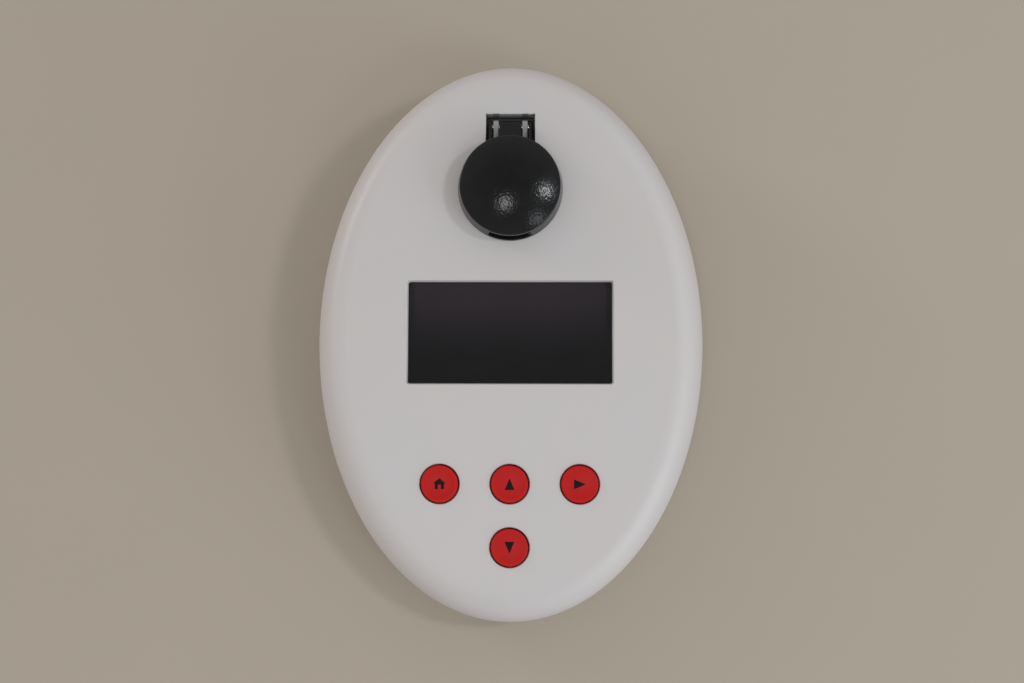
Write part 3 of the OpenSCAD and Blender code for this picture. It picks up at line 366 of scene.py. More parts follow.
GROUPS = {
    "fluorometer_case": CaseSizes, "fluorometer_display": DisplaySizes, "fluorometer_keys": KeySizes,
    "fluorometer_feet": FeetSizes, "fluorometer_lid": LidSizes, "fluorometer_well": WellSizes,
    "fluorometer_colours": Colours, "fluorometer_stage": StageSizes,
}


def sizes(group):
    """The scene's values of one group, such as case or lid."""
    return getattr(bpy.context.scene, "fluorometer_" + group)


# ---------------------------------------------------------------------------------------------------
# Surfaces


def linked(name, data):
    """An object for a mesh, lamp or camera, linked to the scene."""
    made = bpy.data.objects.new(name, data)
    bpy.context.scene.collection.objects.link(made)
    return made


def discard(piece):
    """Removes an object and its mesh."""
    mesh = piece.data
    bpy.data.objects.remove(piece)
    bpy.data.meshes.remove(mesh)


def solid(name, points, faces):
    """A mesh object from its points and faces."""
    mesh = bpy.data.meshes.new(name)
    mesh.from_pydata(np.asarray(points, float).reshape(-1, 3).tolist(), [], faces)
    return linked(name, mesh)


def from_work(name, work):
    """A mesh object from a bmesh that is done."""
    mesh = bpy.data.meshes.new(name)
    work.to_mesh(mesh)
    work.free()
    return linked(name, mesh)


def loft(name, rings, closed=False):
    """A solid through a stack of rings, each anticlockwise from above, with the lowest outside ring first.

    A quad joins each point to the next one round and to those a ring further. The end rings are closed
    by flat faces, or the last ring joins the first where closed is set.
    """
    count, around = rings.shape[:2]
    k, i = np.meshgrid(np.arange(count if closed else count - 1), np.arange(around), indexing="ij")
    j, above = (i + 1) % around, (k + 1) % count
    quads = np.stack(
        [k * around + i, k * around + j, above * around + j, above * around + i], axis=-1).reshape(-1, 4)
    faces = quads.tolist()
    if not closed:
        faces.append(list(range(around - 1, -1, -1)))
        faces.append(list(range((count - 1) * around, count * around)))
    return solid(name, rings, faces)


def angles(count):
    """Even angles of a full turn."""
    return np.arange(count) * 2 * math.pi / count


def circle(radius, segments):
    """Points of a circle about the origin."""
    return np.column_stack([np.cos(angles(segments)), np.sin(angles(segments))]) * radius


def turned(name, profile, place, closed=False, segments=TURNED_SEGMENTS):
    """A profile of [radius, height] turned about the upright through the origin, then put in its place."""
    r, z = np.asarray(profile, float).T[:, :, None]
    t = angles(segments)
    rings = np.stack([r * np.cos(t), r * np.sin(t), z + 0 * t], axis=-1)
    return loft(name, place(rings), closed)


def prism(name, outline, start, end, place):
    """An outline of [x, y], anticlockwise, drawn up from start to end, then put in its place."""
    outline = np.asarray(outline, float)
    rings = np.stack([np.column_stack([outline, np.full(len(outline), z)]) for z in (start, end)])
    return loft(name, place(rings))


def block(name, lows, highs, place):
    """A block between two corners."""
    (x0, y0, z0), (x1, y1, z1) = lows, highs
    return prism(name, [[x0, y0], [x1, y0], [x1, y1], [x0, y1]], z0, z1, place)


def round_bar(radius, start, end, place, segments=POST_SEGMENTS):
    """A round bar along the upright, put in its place."""
    return prism("bar", circle(radius, segments), start, end, place)


def arc(centre, radius, start, end, steps=ROUND_STEPS):
    """Points of an arc from one angle to another, in degrees."""
    a = np.radians(np.linspace(start, end, steps + 1))
    return np.column_stack([centre[0] + radius * np.cos(a), centre[1] + radius * np.sin(a)]).tolist()


def rounded_rectangle(width, height, corner, steps=ROUND_STEPS):
    """A rectangle about the origin with a quarter turn at each corner."""
    corners = [(1, 1, 0), (-1, 1, 90), (-1, -1, 180), (1, -1, 270)]
    return np.array([
        p for sx, sy, a in corners
        for p in arc((sx * (width / 2 - corner), sy * (height / 2 - corner)), corner, a, a + 90, steps)])


def upright(points):
    """Leaves points where they are."""
    return points


def moved(centre):
    """A place moved across and back to a centre."""
    return lambda points: np.asarray(points, float) + [centre[X], centre[Y], 0]


def on_face(points):
    """Points given on the face, x across, y up it and z out of it, turned by its tilt and lifted."""
    case = sizes("case")
    x, y, z = np.moveaxis(np.asarray(points, float), -1, 0)
    c, s = math.cos(case.face_tilt), math.sin(case.face_tilt)
    return np.stack([x, y * c - z * s, case.face_height + y * s + z * c], axis=-1)


def at(x, y):
    """A place on the face, x across and y up it."""
    return lambda points: on_face(np.asarray(points, float) + [x, y, 0])


def at_lid(points):
    """Points given about the lid's centre on the face."""
    return at(0, sizes("lid").place)(points)


def side_view(points):
    """Turns [y, z, x] of an outline drawn from the side into [x, y, z], then puts it at the lid."""
    return at_lid(np.asarray(points)[..., [2, 0, 1]])


def inset_oval(t, d):
    """Points of the case's oval at angles t, moved in by d square to it."""
    case = sizes("case")
    half = np.array([case.width, case.depth]) / 2
    turn = np.stack([np.cos(t), np.sin(t)], axis=-1)
    square = turn / half
    square /= np.linalg.norm(square, axis=-1, keepdims=True)
    return turn * half - np.asarray(d)[..., None] * square


def shoulder(t, step, skin):
    """A point of the shoulder at angle t, from the seam at step 0 to the face at step 1, skin deep.

    It follows a quarter of an ellipse: in by reach times crown times 1 - cos(a), and up by the share
    sin(a) / sin(last), where a goes from 0 to last. Last is under a right angle where crown is over 1.
    From step 1 to 2 it crosses the face by the blend. The outer surface meets the face in a parabola:
    within the blend of the edge it sinks by slope times (blend - distance) squared over 4 blends.
    """
    case = sizes("case")
    rear = np.maximum(0, np.sin(t)) ** BLEND_POWER
    reach = case.side_shoulder + (case.rear_shoulder - case.side_shoulder) * rear
    crown = case.side_crown + (case.rear_crown - case.side_crown) * rear
    last = np.arccos(1 - 1 / crown)
    edge = inset_oval(t, reach + skin)
    top = case.face_height + edge[..., 1] * math.tan(case.face_tilt) - skin / math.cos(case.face_tilt)
    climb, over = min(step, 1), max(step - 1, 0)
    away = reach * (crown * (1 - np.cos(last * climb)) - 1) + case.blend * over
    plan = inset_oval(t, skin + reach + away)
    z = case.seam + (top - case.seam) * np.sin(last * climb) / np.sin(last)
    z += (plan[..., 1] - edge[..., 1]) * math.tan(case.face_tilt) * (over > 0)
    if skin == 0:
        slope = (top - case.seam) * np.cos(last) / (np.sin(last) ** 2 * reach * crown)
        z -= slope * np.maximum(0, case.blend - abs(away)) ** 2 / (4 * case.blend)
    return np.concatenate([plan, z[..., None]], axis=-1)


def level_ring(t, d, z):
    """A level ring of the oval, moved in by d."""
    plan = inset_oval(t, d + 0 * t)
    return np.concatenate([plan, np.full((len(t), 1), z)], axis=-1)


def base_ring(t, step, skin):
    """A ring of the rounded base, from its flat at step 0 to the seam at step 1, skin deep.

    It is a quarter of an ellipse: in by 1 - sin(a) and up by 1 - cos(a), where a goes to a right angle.
    """
    case = sizes("case")
    a = step * math.pi / 2
    top = case.seam - case.seam_groove if skin == 0 else case.seam - case.seam_groove - case.tongue
    bottom = case.foot_height + skin
    d = case.seam_step + skin + (case.base_inset - case.seam_step) * (1 - math.sin(a))
    return level_ring(t, d, bottom + (top - bottom) * (1 - math.cos(a)))


# ---------------------------------------------------------------------------------------------------
# Making and joining pieces


def settle(piece):
    """Puts what the modifiers make in the place of the piece's mesh."""
    bpy.context.view_layer.update()
    graph = bpy.context.evaluated_depsgraph_get()
    result = bpy.data.meshes.new_from_object(
        piece.evaluated_get(graph), preserve_all_data_layers=True, depsgraph=graph)
    old = piece.data
    piece.modifiers.clear()
    piece.data = result
    bpy.data.meshes.remove(old)


def combine(piece, operation, *others):
    """Joins solids to a piece, or cuts them from it, and removes them."""
    for other in others:
        step = piece.modifiers.new("combine", "BOOLEAN")
        step.operation = operation
        step.object = other
        step.solver = "MANIFOLD"
        settle(piece)
        discard(other)
    return piece


def join(piece, *others):
    """Adds solids to a piece."""
    return combine(piece, "UNION", *others)


def cut(piece, *others):
    """Takes solids away from a piece."""
    return combine(piece, "DIFFERENCE", *others)


def bevelled(piece, width, segments=BEVEL_STEPS):
    """Rounds every crease of a simple solid."""
    step = piece.modifiers.new("edges", "BEVEL")
    step.width = width
    step.segments = segments
    step.limit_method = "ANGLE"
    step.angle_limit = CREASE
    settle(piece)
    return piece


def dress(piece, slot, body, *nodes):
    """Finishes a piece: smooth up to its creases, with its material, on its body, in its nodes' place.

    The large faces set the normals that they share with small ones.
    """
    piece.data.shade_smooth()
    piece.data.set_sharp_from_angle(angle=CREASE)
    step = piece.modifiers.new("normals", "WEIGHTED_NORMAL")
    step.keep_sharp = True
    settle(piece)
    piece.data.name = piece.name
    piece.data.materials.clear()
    piece.data.materials.append(finish(slot))
    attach(piece, body)
    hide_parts(*nodes)


def copy_of(node, name, edge_round):
    """A merged copy of a node of the frame, with its straight edges rounded."""
    work = bmesh.new()
    work.from_mesh(frame["nodes"][node].data)
    bmesh.ops.remove_doubles(work, verts=work.verts, dist=SAME_POINT)
    bmesh.ops.dissolve_limit(work, angle_limit=SAME_FACE, verts=work.verts, edges=work.edges)
    return bevelled(from_work(name, work), edge_round, COPY_STEPS)


def gather(name, pieces):
    """One object from several that don't touch."""
    work = bmesh.new()
    for piece in pieces:
        work.from_mesh(piece.data)
        discard(piece)
    return from_work(name, work)


def rim_steps(rim):
    """How far out and how high a round rim is, step by step from its wall to its end."""
    a = np.linspace(0, ROUND_END, ROUND_STEPS + 1)
    return rim * (1 - np.cos(a)), -rim * (1 - np.sin(a))


def rim_profile(radius, rim, depth):
    """Profile of a round cutter: straight up a wall, out over a round rim, and on past the face."""
    out, up = rim_steps(rim)
    return [[radius, -depth], *np.column_stack([radius + out, up]).tolist(), [radius + out[-1], BEYOND]]


def rim_cutter(name, outline, rim, depth, draft, place):
    """The same for any outline that can be grown: outline(d) gives it d larger, and draft narrows it."""
    out, up = rim_steps(rim)
    growth, levels = [-draft, *out, out[-1]], [-depth, *up, BEYOND]
    rings = [np.column_stack([outline(d), np.full(len(outline(0)), z)]) for d, z in zip(growth, levels)]
    return loft(name, place(np.stack(rings)))


def across_hinge(name, radius, width, x=0.0):
    """A round bar of a width along the hinge's axis, centred at x."""
    lid = sizes("lid")
    outline = circle(radius, PIN_SEGMENTS) + [lid.hinge_reach, -lid.hinge_depth]
    return prism(name, outline, x - width / 2, x + width / 2, side_view)


# ---------------------------------------------------------------------------------------------------
# Finishes


class Value:
    """A number that changes over a surface. Python's operators on it add Math nodes."""

    def __init__(self, paint, socket):
        self.paint = paint
        self.socket = socket

    def __add__(self, other):
        return self.paint.maths("ADD", self, other)

    def __sub__(self, other):
        return self.paint.maths("SUBTRACT", self, other)

    def __rsub__(self, other):
        return self.paint.maths("SUBTRACT", other, self)

    def __mul__(self, other):
        return self.paint.maths("MULTIPLY", self, other)

    __radd__ = __add__
    __rmul__ = __mul__


class Tree:
    """A node tree while it is made."""

    def __init__(self, tree):
        self.tree = tree

    def feed(self, socket, value):
        """Links a value to a socket, or sets the socket to a plain number or colour."""
        if isinstance(value, Value):
            value = value.socket
        if isinstance(value, bpy.types.NodeSocket):
            self.tree.links.new(value, socket)
        else:
            socket.default_value = value

    def node(self, kind, settings=None, inputs=None, output=0):
        """Adds a node: its settings first, then the values or links of its sockets."""
        made = self.tree.nodes.new(kind)
        for key, value in (settings or {}).items():
            setattr(made, key, value)
        for socket, value in (inputs or {}).items():
            self.feed(made.inputs[socket], value)
        return made.outputs[output]

    def maths(self, operation, *numbers):
        """A Math node on values and numbers."""
        inputs = dict(enumerate(numbers))
        return Value(self, self.node("ShaderNodeMath", {"operation": operation}, inputs))

    def part(self, vector, index):
        """One part of a vector."""
        return Value(self, self.node("ShaderNodeSeparateXYZ", None, {0: vector}, index))


class Paint(Tree):
    """A material while it is made: its shader and the nodes that feed it."""

    def __init__(self, name, **constants):
        self.material = bpy.data.materials.new(name)
        self.material.use_nodes = True
        super().__init__(self.material.node_tree)
        self.shader = self.tree.nodes["Principled BSDF"]
        for socket, value in constants.items():
            self.shader.inputs[socket.replace("_", " ")].default_value = value
        self.place = self.node("ShaderNodeTexCoord", output="Object")

    def axis(self, index):
        """The place along one axis, in metres."""
        return self.part(self.place, index)

    def on_face(self):
        """The place on the sloping face: across it, up it, and the depth under it."""
        case = sizes("case")
        rise = self.axis(Z) - case.face_height
        lean, slope = math.cos(case.face_tilt), math.sin(case.face_tilt)
        return self.axis(X), self.axis(Y) * lean + rise * slope, self.axis(Y) * slope - rise * lean

    def within(self, value, start, end):
        """1 from start to end, 0 outside."""
        return self.maths("GREATER_THAN", value, start) * self.maths("LESS_THAN", value, end)

    def stretched(self, scale):
        """The place with each axis multiplied, so that a pattern is drawn out along one."""
        return self.node(
            "ShaderNodeVectorMath", {"operation": "MULTIPLY"}, {0: self.place, 1: scale})

    def noise(self, size, detail=2.0, place=None):
        """Soft noise from 0 to 1 whose spots are about a size across."""
        inputs = {"Vector": place or self.place, "Scale": 1 / size, "Detail": detail}
        return Value(self, self.node("ShaderNodeTexNoise", None, inputs, "Fac"))

    def cells(self, size):
        """Distance from the middle of scattered cells about a size across, 0 at each middle."""
        inputs = {"Vector": self.place, "Scale": 1 / size}
        return Value(self, self.node("ShaderNodeTexVoronoi", None, inputs, "Distance"))

    def stripes(self, size, direction):
        """Even stripes across X or Y, from 0 to 1."""
        settings = {"wave_type": "BANDS", "bands_direction": direction}
        period = WAVE_TURN * size / (2 * math.pi)
        return Value(self, self.node(
            "ShaderNodeTexWave", settings, {"Vector": self.place, "Scale": 1 / period}, "Fac"))

    def ramp(self, value, start, end):
        """0 below start, 1 above end, and smooth between them."""
        settings = {"interpolation_type": "SMOOTHSTEP"}
        inputs = {"Value": value, "From Min": start, "From Max": end}
        return Value(self, self.node("ShaderNodeMapRange", settings, inputs))

    def mix(self, first, second, share):
        """A colour between two, by a share from 0 to 1."""
        inputs = {"Factor": share, 6: first, 7: second}
        return self.node("ShaderNodeMix", {"data_type": "RGBA"}, inputs, 2)

    def varied(self, shade, low_share, high_share, value):
        """A colour multiplied by a share that goes from low to high with a value."""
        return self.mix(rgba(shade, low_share), rgba(shade, high_share), value)

    def coat(self, **sockets):
        """Feeds the shader's varying sockets."""
        for socket, value in sockets.items():
            self.feed(self.shader.inputs[socket.replace("_", " ")], value)
        return self

    def see_through_behind(self):
        """Makes the surface clear from behind, and to what hangs within a few millimetres over it."""
        clear = self.node("ShaderNodeBsdfTransparent")
        behind = self.node("ShaderNodeNewGeometry", output="Backfacing")
        close = self.maths("LESS_THAN", self.node("ShaderNodeLightPath", output="Ray Length"), CLOSE)
        hidden = self.maths("MAXIMUM", behind, close)
        shown = self.node("ShaderNodeMixShader", None, {0: hidden, 1: self.shader.outputs[0], 2: clear})
        self.feed(self.tree.nodes["Material Output"].inputs["Surface"], shown)

    def bump(self, height, depth):
        """Raises the surface by a depth where height is 1."""
        normal = self.node(
            "ShaderNodeBump", None, {"Strength": 1.0, "Distance": depth, "Height": height}, "Normal")
        return self.coat(Normal=normal)


def rgba(shade, share=1.0):
    """A colour with its alpha, multiplied by a share."""
    return (*[min(1.0, c * share) for c in shade], 1.0)


def moulded(name, shade, gloss, grain=0.35 * MM, depth=0.006 * MM, mottle=0.03, **constants):
    """A moulded plastic: fine sparked grain, faint mottling, and gloss that drifts with handling."""
    paint = Paint(name, **constants)
    cloud = paint.noise(14 * MM, 3)
    handled = paint.noise(5 * MM, 4)
    fine = paint.noise(grain, 3)
    paint.coat(
        Base_Color=paint.varied(shade, 1 - mottle, 1 + mottle, cloud * 0.7 + fine * 0.3),
        Roughness=gloss + 0.07 * (handled - 0.5) + 0.06 * (fine - 0.5))
    return paint.bump(fine + 0.4 * paint.noise(3 * grain), depth)


def rubber(name, shade, grain=0.5 * MM):
    """A matte rubber with a dusty bloom in its low spots."""
    paint = Paint(name, IOR=1.52)
    bloom = paint.ramp(paint.noise(3 * MM, 4), 0.45, 0.7)
    fine = paint.noise(grain, 3)
    paint.coat(
        Base_Color=paint.mix(rgba(shade), rgba([c + 0.02 for c in shade]), bloom),
        Roughness=0.72 + 0.12 * (fine - 0.5) + 0.05 * bloom)
    return paint.bump(fine, 0.02 * MM)


def metal(name, shade, gloss, stretch=(1, 1, 1), grain=0.12 * MM):
    """A metal with a drawn or ground grain, a little duller and darker in clouds."""
    paint = Paint(name, Metallic=1.0)
    lines = paint.noise(grain, 3, paint.stretched(stretch))
    cloud = paint.noise(4 * MM, 3)
    paint.coat(
        Base_Color=paint.varied(shade, 0.86, 1.04, lines * 0.6 + cloud * 0.4),
        Roughness=gloss + 0.12 * (lines - 0.5) + 0.08 * (cloud - 0.5))
    return paint.bump(lines, 0.003 * MM)


def resin(name, shade, see_through, gloss=0.12):
    """A tinted resin or glass with faint flow lines."""
    paint = Paint(name, Transmission_Weight=see_through, IOR=1.5)
    flow = paint.noise(2 * MM, 2)
    paint.coat(Base_Color=paint.varied(shade, 0.92, 1.06, flow), Roughness=gloss + 0.04 * (flow - 0.5))
    return paint.bump(flow, 0.002 * MM)


def painted_slot_shade(paint):
    """Painted shade in the hinge slot: how dark the case is painted on its side walls, the ears' sides and
    the deep end.
    """
    lid, reach = sizes("lid"), 0.2 * MM
    across, back, depth = paint.on_face()
    slot = (paint.within(across, -lid.slot_half - reach, lid.slot_half + reach)
            * paint.within(back, lid.place + lid.slot_front - reach, lid.place + lid.slot_back + reach))
    side = paint.maths("ABSOLUTE", across)
    ears = paint.within(side, lid.ear_in - reach, lid.ear_out + reach) * 0.5
    walls = paint.within(side, lid.slot_half - reach, lid.slot_half + reach) * 0.85
    deep = paint.ramp(depth, 5 * MM, 7 * MM) * 0.95
    return slot * paint.maths("MAXIMUM", ears + walls, deep)


def case_plastic(name):
    """The warm white case: spark-eroded grain, faint warm clouds, a few fine specks of dust, and painted
    shade in the hinge slot.
    """
    shade = sizes("colours").case
    paint = Paint(name, IOR=1.47)
    cloud, handled, grain = paint.noise(26 * MM, 3), paint.noise(7 * MM, 4), paint.noise(0.28 * MM, 3)
    specks = 1 - paint.ramp(paint.cells(5.5 * MM), 0.02, 0.045)
    kept = paint.ramp(paint.noise(9 * MM, 1), 0.56, 0.66)
    warm = rgba([shade[0] * 1.02, shade[1] * 0.995, shade[2] * 0.965])
    cool = rgba([shade[0] * 0.985, shade[1] * 0.995, shade[2] * 1.015])
    ground = paint.mix(paint.mix(warm, cool, cloud), rgba(shade, 0.55), specks * kept * 0.6)
    # Painted shade: inside the hinge slot the colour is mixed towards near black, where shade falls.
    paint.coat(
        Base_Color=paint.mix(ground, rgba(shade, 0.06), painted_slot_shade(paint)),
        Roughness=0.46 + 0.08 * (handled - 0.5) + 0.07 * (grain - 0.5))
    return paint.bump(grain + 0.5 * paint.noise(0.9 * MM, 2), 0.007 * MM)


def key_red(name):
    """The red keys: satin, slightly uneven in depth of colour, with a fine grain."""
    shade = sizes("colours").keys
    paint = Paint(name, IOR=1.49, Specular_IOR_Level=0.16)
    cloud = paint.noise(3.2 * MM, 3)
    grain = paint.noise(0.25 * MM, 3)
    paint.coat(
        Base_Color=paint.varied(shade, 0.9, 1.08, cloud * 0.6 + grain * 0.4),
        Roughness=0.42 + 0.1 * (grain - 0.5) + 0.06 * (cloud - 0.5))
    return paint.bump(grain, 0.006 * MM)


def lid_black(name):
    """The black lid: satin, with a grain coarse enough to break its highlights, and faint handling."""
    shade = sizes("colours").lid
    paint = Paint(name, IOR=1.5, Specular_IOR_Level=0.25)
    grain = paint.noise(0.85 * MM, 4)
    pits = paint.cells(0.9 * MM)
    handled = paint.ramp(paint.noise(6 * MM, 5), 0.35, 0.7)
    dust = paint.ramp(paint.noise(0.3 * MM, 2), 0.66, 0.74) * paint.ramp(paint.noise(8 * MM), 0.45, 0.65)
    paint.coat(
        Base_Color=paint.mix(rgba(shade), rgba([c + 0.035 for c in shade]), dust * 0.3 + handled * 0.04),
        Roughness=0.165 + 0.08 * (grain - 0.5) + 0.03 * handled)
    return paint.bump(grain + 0.6 * pits, 0.05 * MM)


def window_clear(name):
    """The smoked window: clear and polished, with faint smears in its tint and gloss."""
    paint = Paint(name, Transmission_Weight=1.0, IOR=1.33)
    smear = paint.noise(18 * MM, 3)
    paint.coat(
        Base_Color=paint.varied((0.78, 0.75, 0.78), 0.97, 1.03, smear),
        Roughness=0.03 + 0.03 * paint.ramp(smear, 0.45, 0.75))
    return paint.bump(smear, 0.001 * MM)


def display_glass(name):
    """The display when off: near black, darker in its side borders, with a painted reflection that makes it
    lighter up the face.
    """
    paint = Paint(name, IOR=1.5, Specular_IOR_Level=0.08)
    display, border, soft = sizes("display"), 2.6 * MM, 0.3 * MM
    inside = display.width / 2 - border
    field = 1 - paint.ramp(paint.maths("ABSOLUTE", paint.axis(X)), inside, inside + soft)
    cloud = paint.noise(30 * MM, 2)
    weave = paint.stripes(0.5 * MM, "X") * 0.5 + paint.stripes(0.5 * MM, "Y") * 0.5
    # Painted reflection: from black at the foot, the display's colour rises to its shade towards the head.
    foot, head = (display.offset + share * display.height for share in (-0.3, 0.6))
    up = paint.ramp(paint.on_face()[Y], foot, head)
    black = rgba((0.002, 0.002, 0.002))
    dark, light = (
        paint.mix(black, rgba(shade), up) for shade in ((0.030, 0.026, 0.030), (0.066, 0.053, 0.063)))
    paint.coat(
        Base_Color=paint.mix(dark, light, field * (0.75 + 0.15 * cloud + 0.1 * weave)),
        Roughness=0.14 + 0.04 * (cloud - 0.5))
    return paint.bump(weave, 0.002 * MM)


def circuit_board(name):
    """Green solder mask over copper tracks, with tinned pads."""
    paint = Paint(name, IOR=1.5)
    across = paint.ramp(paint.stripes(1.1 * MM, "X"), 0.62, 0.74)
    along = paint.ramp(paint.stripes(1.1 * MM, "Y"), 0.62, 0.74)
    turn = paint.ramp(paint.noise(9 * MM, 1), 0.48, 0.52)
    tracks = across * turn + along * (1 - turn)
    pads = 1 - paint.ramp(paint.cells(3.4 * MM), 0.16, 0.19)
    mask = paint.mix(rgba((0.012, 0.095, 0.045)), rgba((0.03, 0.17, 0.075)), tracks)
    paint.coat(
        Base_Color=paint.mix(mask, rgba((0.62, 0.6, 0.55)), pads),
        Roughness=0.34 + 0.1 * (paint.noise(1.5 * MM) - 0.5) + 0.06 * pads,
        Metallic=pads * 0.9)
    return paint.bump(tracks * 0.6 + pads, 0.03 * MM)


def ribbon_film(name):
    """Amber film over flat copper lines."""
    paint = Paint(name, IOR=1.55)
    lines = paint.ramp(paint.stripes(1 * MM, "X"), 0.35, 0.6)
    haze = paint.noise(3 * MM, 3)
    paint.coat(
        Base_Color=paint.mix(rgba((0.30, 0.13, 0.02)), rgba((0.62, 0.33, 0.12)), lines),
        Roughness=0.26 + 0.1 * (haze - 0.5))
    return paint.bump(lines, 0.02 * MM)


def capacitor_metal(name):
    """Aluminium cans in a dark sleeve with a pale stripe down one side."""
    paint = Paint(name, IOR=1.5)
    can, stripe_half, soft, rim = 3.2 * MM, 0.8 * MM, 0.1 * MM, 0.3 * MM
    side = paint.maths("ABSOLUTE", paint.axis(X)) - (high("capacitors", X) - can)
    stripe = 1 - paint.ramp(paint.maths("ABSOLUTE", side), stripe_half, stripe_half + soft)
    top = high("capacitors", Z) - rim
    top = paint.ramp(paint.axis(Z), top, top + soft)
    sleeve = paint.mix(rgba((0.02, 0.03, 0.07)), rgba((0.55, 0.56, 0.58)), stripe)
    paint.coat(
        Base_Color=paint.mix(sleeve, rgba((0.62, 0.63, 0.65)), top),
        Roughness=0.38 + 0.1 * (paint.noise(0.6 * MM) - 0.5),
        Metallic=top)
    return paint.bump(paint.noise(0.5 * MM, 3), 0.01 * MM)


def sign_ink(name):
    """Black ink printed on the keys, thin enough to show the grain under it."""
    return moulded(name, (0.008, 0.005, 0.005), 0.5, mottle=0.2, Specular_IOR_Level=0.1)


# What makes each finish, and the values that it takes after the finish's name.
FINISHES = {
    "case_plastic": (case_plastic,), "key_red": (key_red,), "lid_black": (lid_black,),
    "window_clear": (window_clear,), "display_glass": (display_glass,), "sign_ink": (sign_ink,),
    "circuit_board": (circuit_board,), "ribbon_film": (ribbon_film,),
    "capacitor_metal": (capacitor_metal,),
    "foot_rubber": (rubber, (0.022, 0.022, 0.022)),
    "gasket_rubber": (rubber, (0.02, 0.02, 0.02), 0.3 * MM),
    "seal_rubber": (rubber, (0.03, 0.03, 0.032), 0.3 * MM),
    "screw_steel": (metal, (0.56, 0.57, 0.6), 0.32),
    "pin_steel": (metal, (0.5, 0.51, 0.53), 0.26, (0.05, 1, 1)),
    "frame_metal": (metal, (0.52, 0.53, 0.55), 0.36, (0.08, 1, 1)),
    "socket_metal": (metal, (0.62, 0.62, 0.6), 0.25, (1, 0.1, 1)),
    "detector_metal": (metal, (0.58, 0.57, 0.54), 0.24),
    "light_guide": (resin, (0.86, 0.88, 0.88), 0.25, 0.4),
    "lamp_blue": (resin, (0.05, 0.16, 0.75), 0.55),
    "lamp_red": (resin, (0.68, 0.03, 0.03), 0.55),
    "filter_blue": (resin, (0.04, 0.14, 0.5), 0.7, 0.06),
    "filter_amber": (resin, (0.5, 0.2, 0.02), 0.7, 0.06),
    "well_black": (moulded, (0.013, 0.013, 0.014), 0.42, 0.35 * MM, 0.012 * MM, 0.1),
    "liner_black": (moulded, (0.014, 0.014, 0.015), 0.6, 0.4 * MM, 0.02 * MM, 0.12),
    "block_black": (moulded, (0.015, 0.015, 0.017), 0.5, 0.3 * MM, 0.01 * MM, 0.1),
    "switch_black": (moulded, (0.02, 0.02, 0.022), 0.45, 0.35 * MM, 0.006 * MM, 0.1),
    "chip_black": (moulded, (0.018, 0.018, 0.02), 0.55, 0.2 * MM, 0.01 * MM, 0.12),
    "jack_black": (moulded, (0.012, 0.012, 0.012), 0.4, 0.35 * MM, 0.006 * MM, 0.1),
    "socket_cream": (moulded, (0.64, 0.6, 0.48), 0.42),
    "lead_red": (moulded, (0.38, 0.02, 0.02), 0.4, 0.3 * MM, 0.008 * MM, 0.08),
    "lead_blue": (moulded, (0.02, 0.06, 0.3), 0.4, 0.3 * MM, 0.008 * MM, 0.08),
}
MADE = {}


def finish(name):
    """The material of that name, made the first time that it is asked for."""
    if name not in MADE:
        maker, *values = FINISHES[name]
        MADE[name] = maker(name, *values).material
    return MADE[name]


# ---------------------------------------------------------------------------------------------------
# Pieces


def rounded(corners):
    """Corners of [x, y, round] as a line whose turns are arcs of that round.

    An arc starts and ends at round / tan(half the corner's angle) from the corner, and its centre is on
    the line that halves the angle.
    """
    corners = np.asarray([[*c, 0][:3] for c in corners], float)
    before, after = np.roll(corners, 1, axis=0), np.roll(corners, -1, axis=0)
    line = []
    for (x, y, radius), last, following in zip(corners, before, after):
        if radius == 0:
            line.append([x, y])
            continue
        corner = np.array([x, y])
        back, on = last[:2] - corner, following[:2] - corner
        back, on = back / np.linalg.norm(back), on / np.linalg.norm(on)
        half = math.acos(np.clip(back @ on, -1, 1)) / 2
        halving = (back + on) / np.linalg.norm(back + on)
        centre = corner + halving * radius / math.sin(half)
        start = corner + back * radius / math.tan(half) - centre
        end = corner + on * radius / math.tan(half) - centre
        turn = math.atan2(start[0] * end[1] - start[1] * end[0], start @ end)
        for a in np.linspace(0, turn, ROUND_STEPS + 1):
            c, s = math.cos(a), math.sin(a)
            line.append((centre + [start[0] * c - start[1] * s, start[0] * s + start[1] * c]).tolist())
    return line


def to_face(points):
    """The reverse of on_face: places in the frame as places on the face."""
    case = sizes("case")
    x, y, z = np.moveaxis(np.asarray(points, float), -1, 0)
    z = z - case.face_height
    c, s = math.cos(case.face_tilt), math.sin(case.face_tilt)
    return np.stack([x, y * c + z * s, z * c - y * s], axis=-1)


def points_of(node):
    """The points of a node of the frame."""
    return np.array([v.co for v in frame["nodes"][node].data.vertices])


def four_corners(node):
    """The points of a node of four like pieces, as four arrays, one for each corner."""
    points = points_of(node)
    centre = (points.min(axis=0) + points.max(axis=0)) / 2
    right, back = points[:, X] > centre[X], points[:, Y] > centre[Y]
    return [points[(right == r) & (back == b)] for r in (False, True) for b in (False, True)]


def middles(node, places=upright):
    """Each of a node's four pieces: the middle of its box and its top, in the axes that places gives."""
    groups = [places(group) for group in four_corners(node)]
    return [((g.min(axis=0) + g.max(axis=0)) / 2, g.max(axis=0)[Z]) for g in groups]


BOARD_SCREWS = ("display_screws", "keypad_screws", "optics_screws")


def screw_posts():
    """The posts under the face that the boards' screws go into, and their holes."""
    posts, holes = [], []
    for node in BOARD_SCREWS:
        for centre, tip in middles(node, to_face):
            foot, place = tip - THREAD_REACH, at(*centre[:Z])
            posts.append(round_bar(POST, foot, 0, place))
            holes.append(round_bar(THREAD, foot - BEYOND, -sizes("case").wall, place, THREAD_SEGMENTS))
    return posts, holes


def case_posts(foot, top, hole_foot, hole_top):
    """The posts that the case's screws go into, and their holes; hole_top takes the level of a tip."""
    posts, holes = [], []
    for centre, tip in middles("case_screws"):
        posts.append(round_bar(CASE_POST, foot, top, moved(centre)))
        holes.append(round_bar(CASE_THREAD, hole_foot, hole_top(tip), moved(centre), HOLE_SEGMENTS))
    return posts, holes


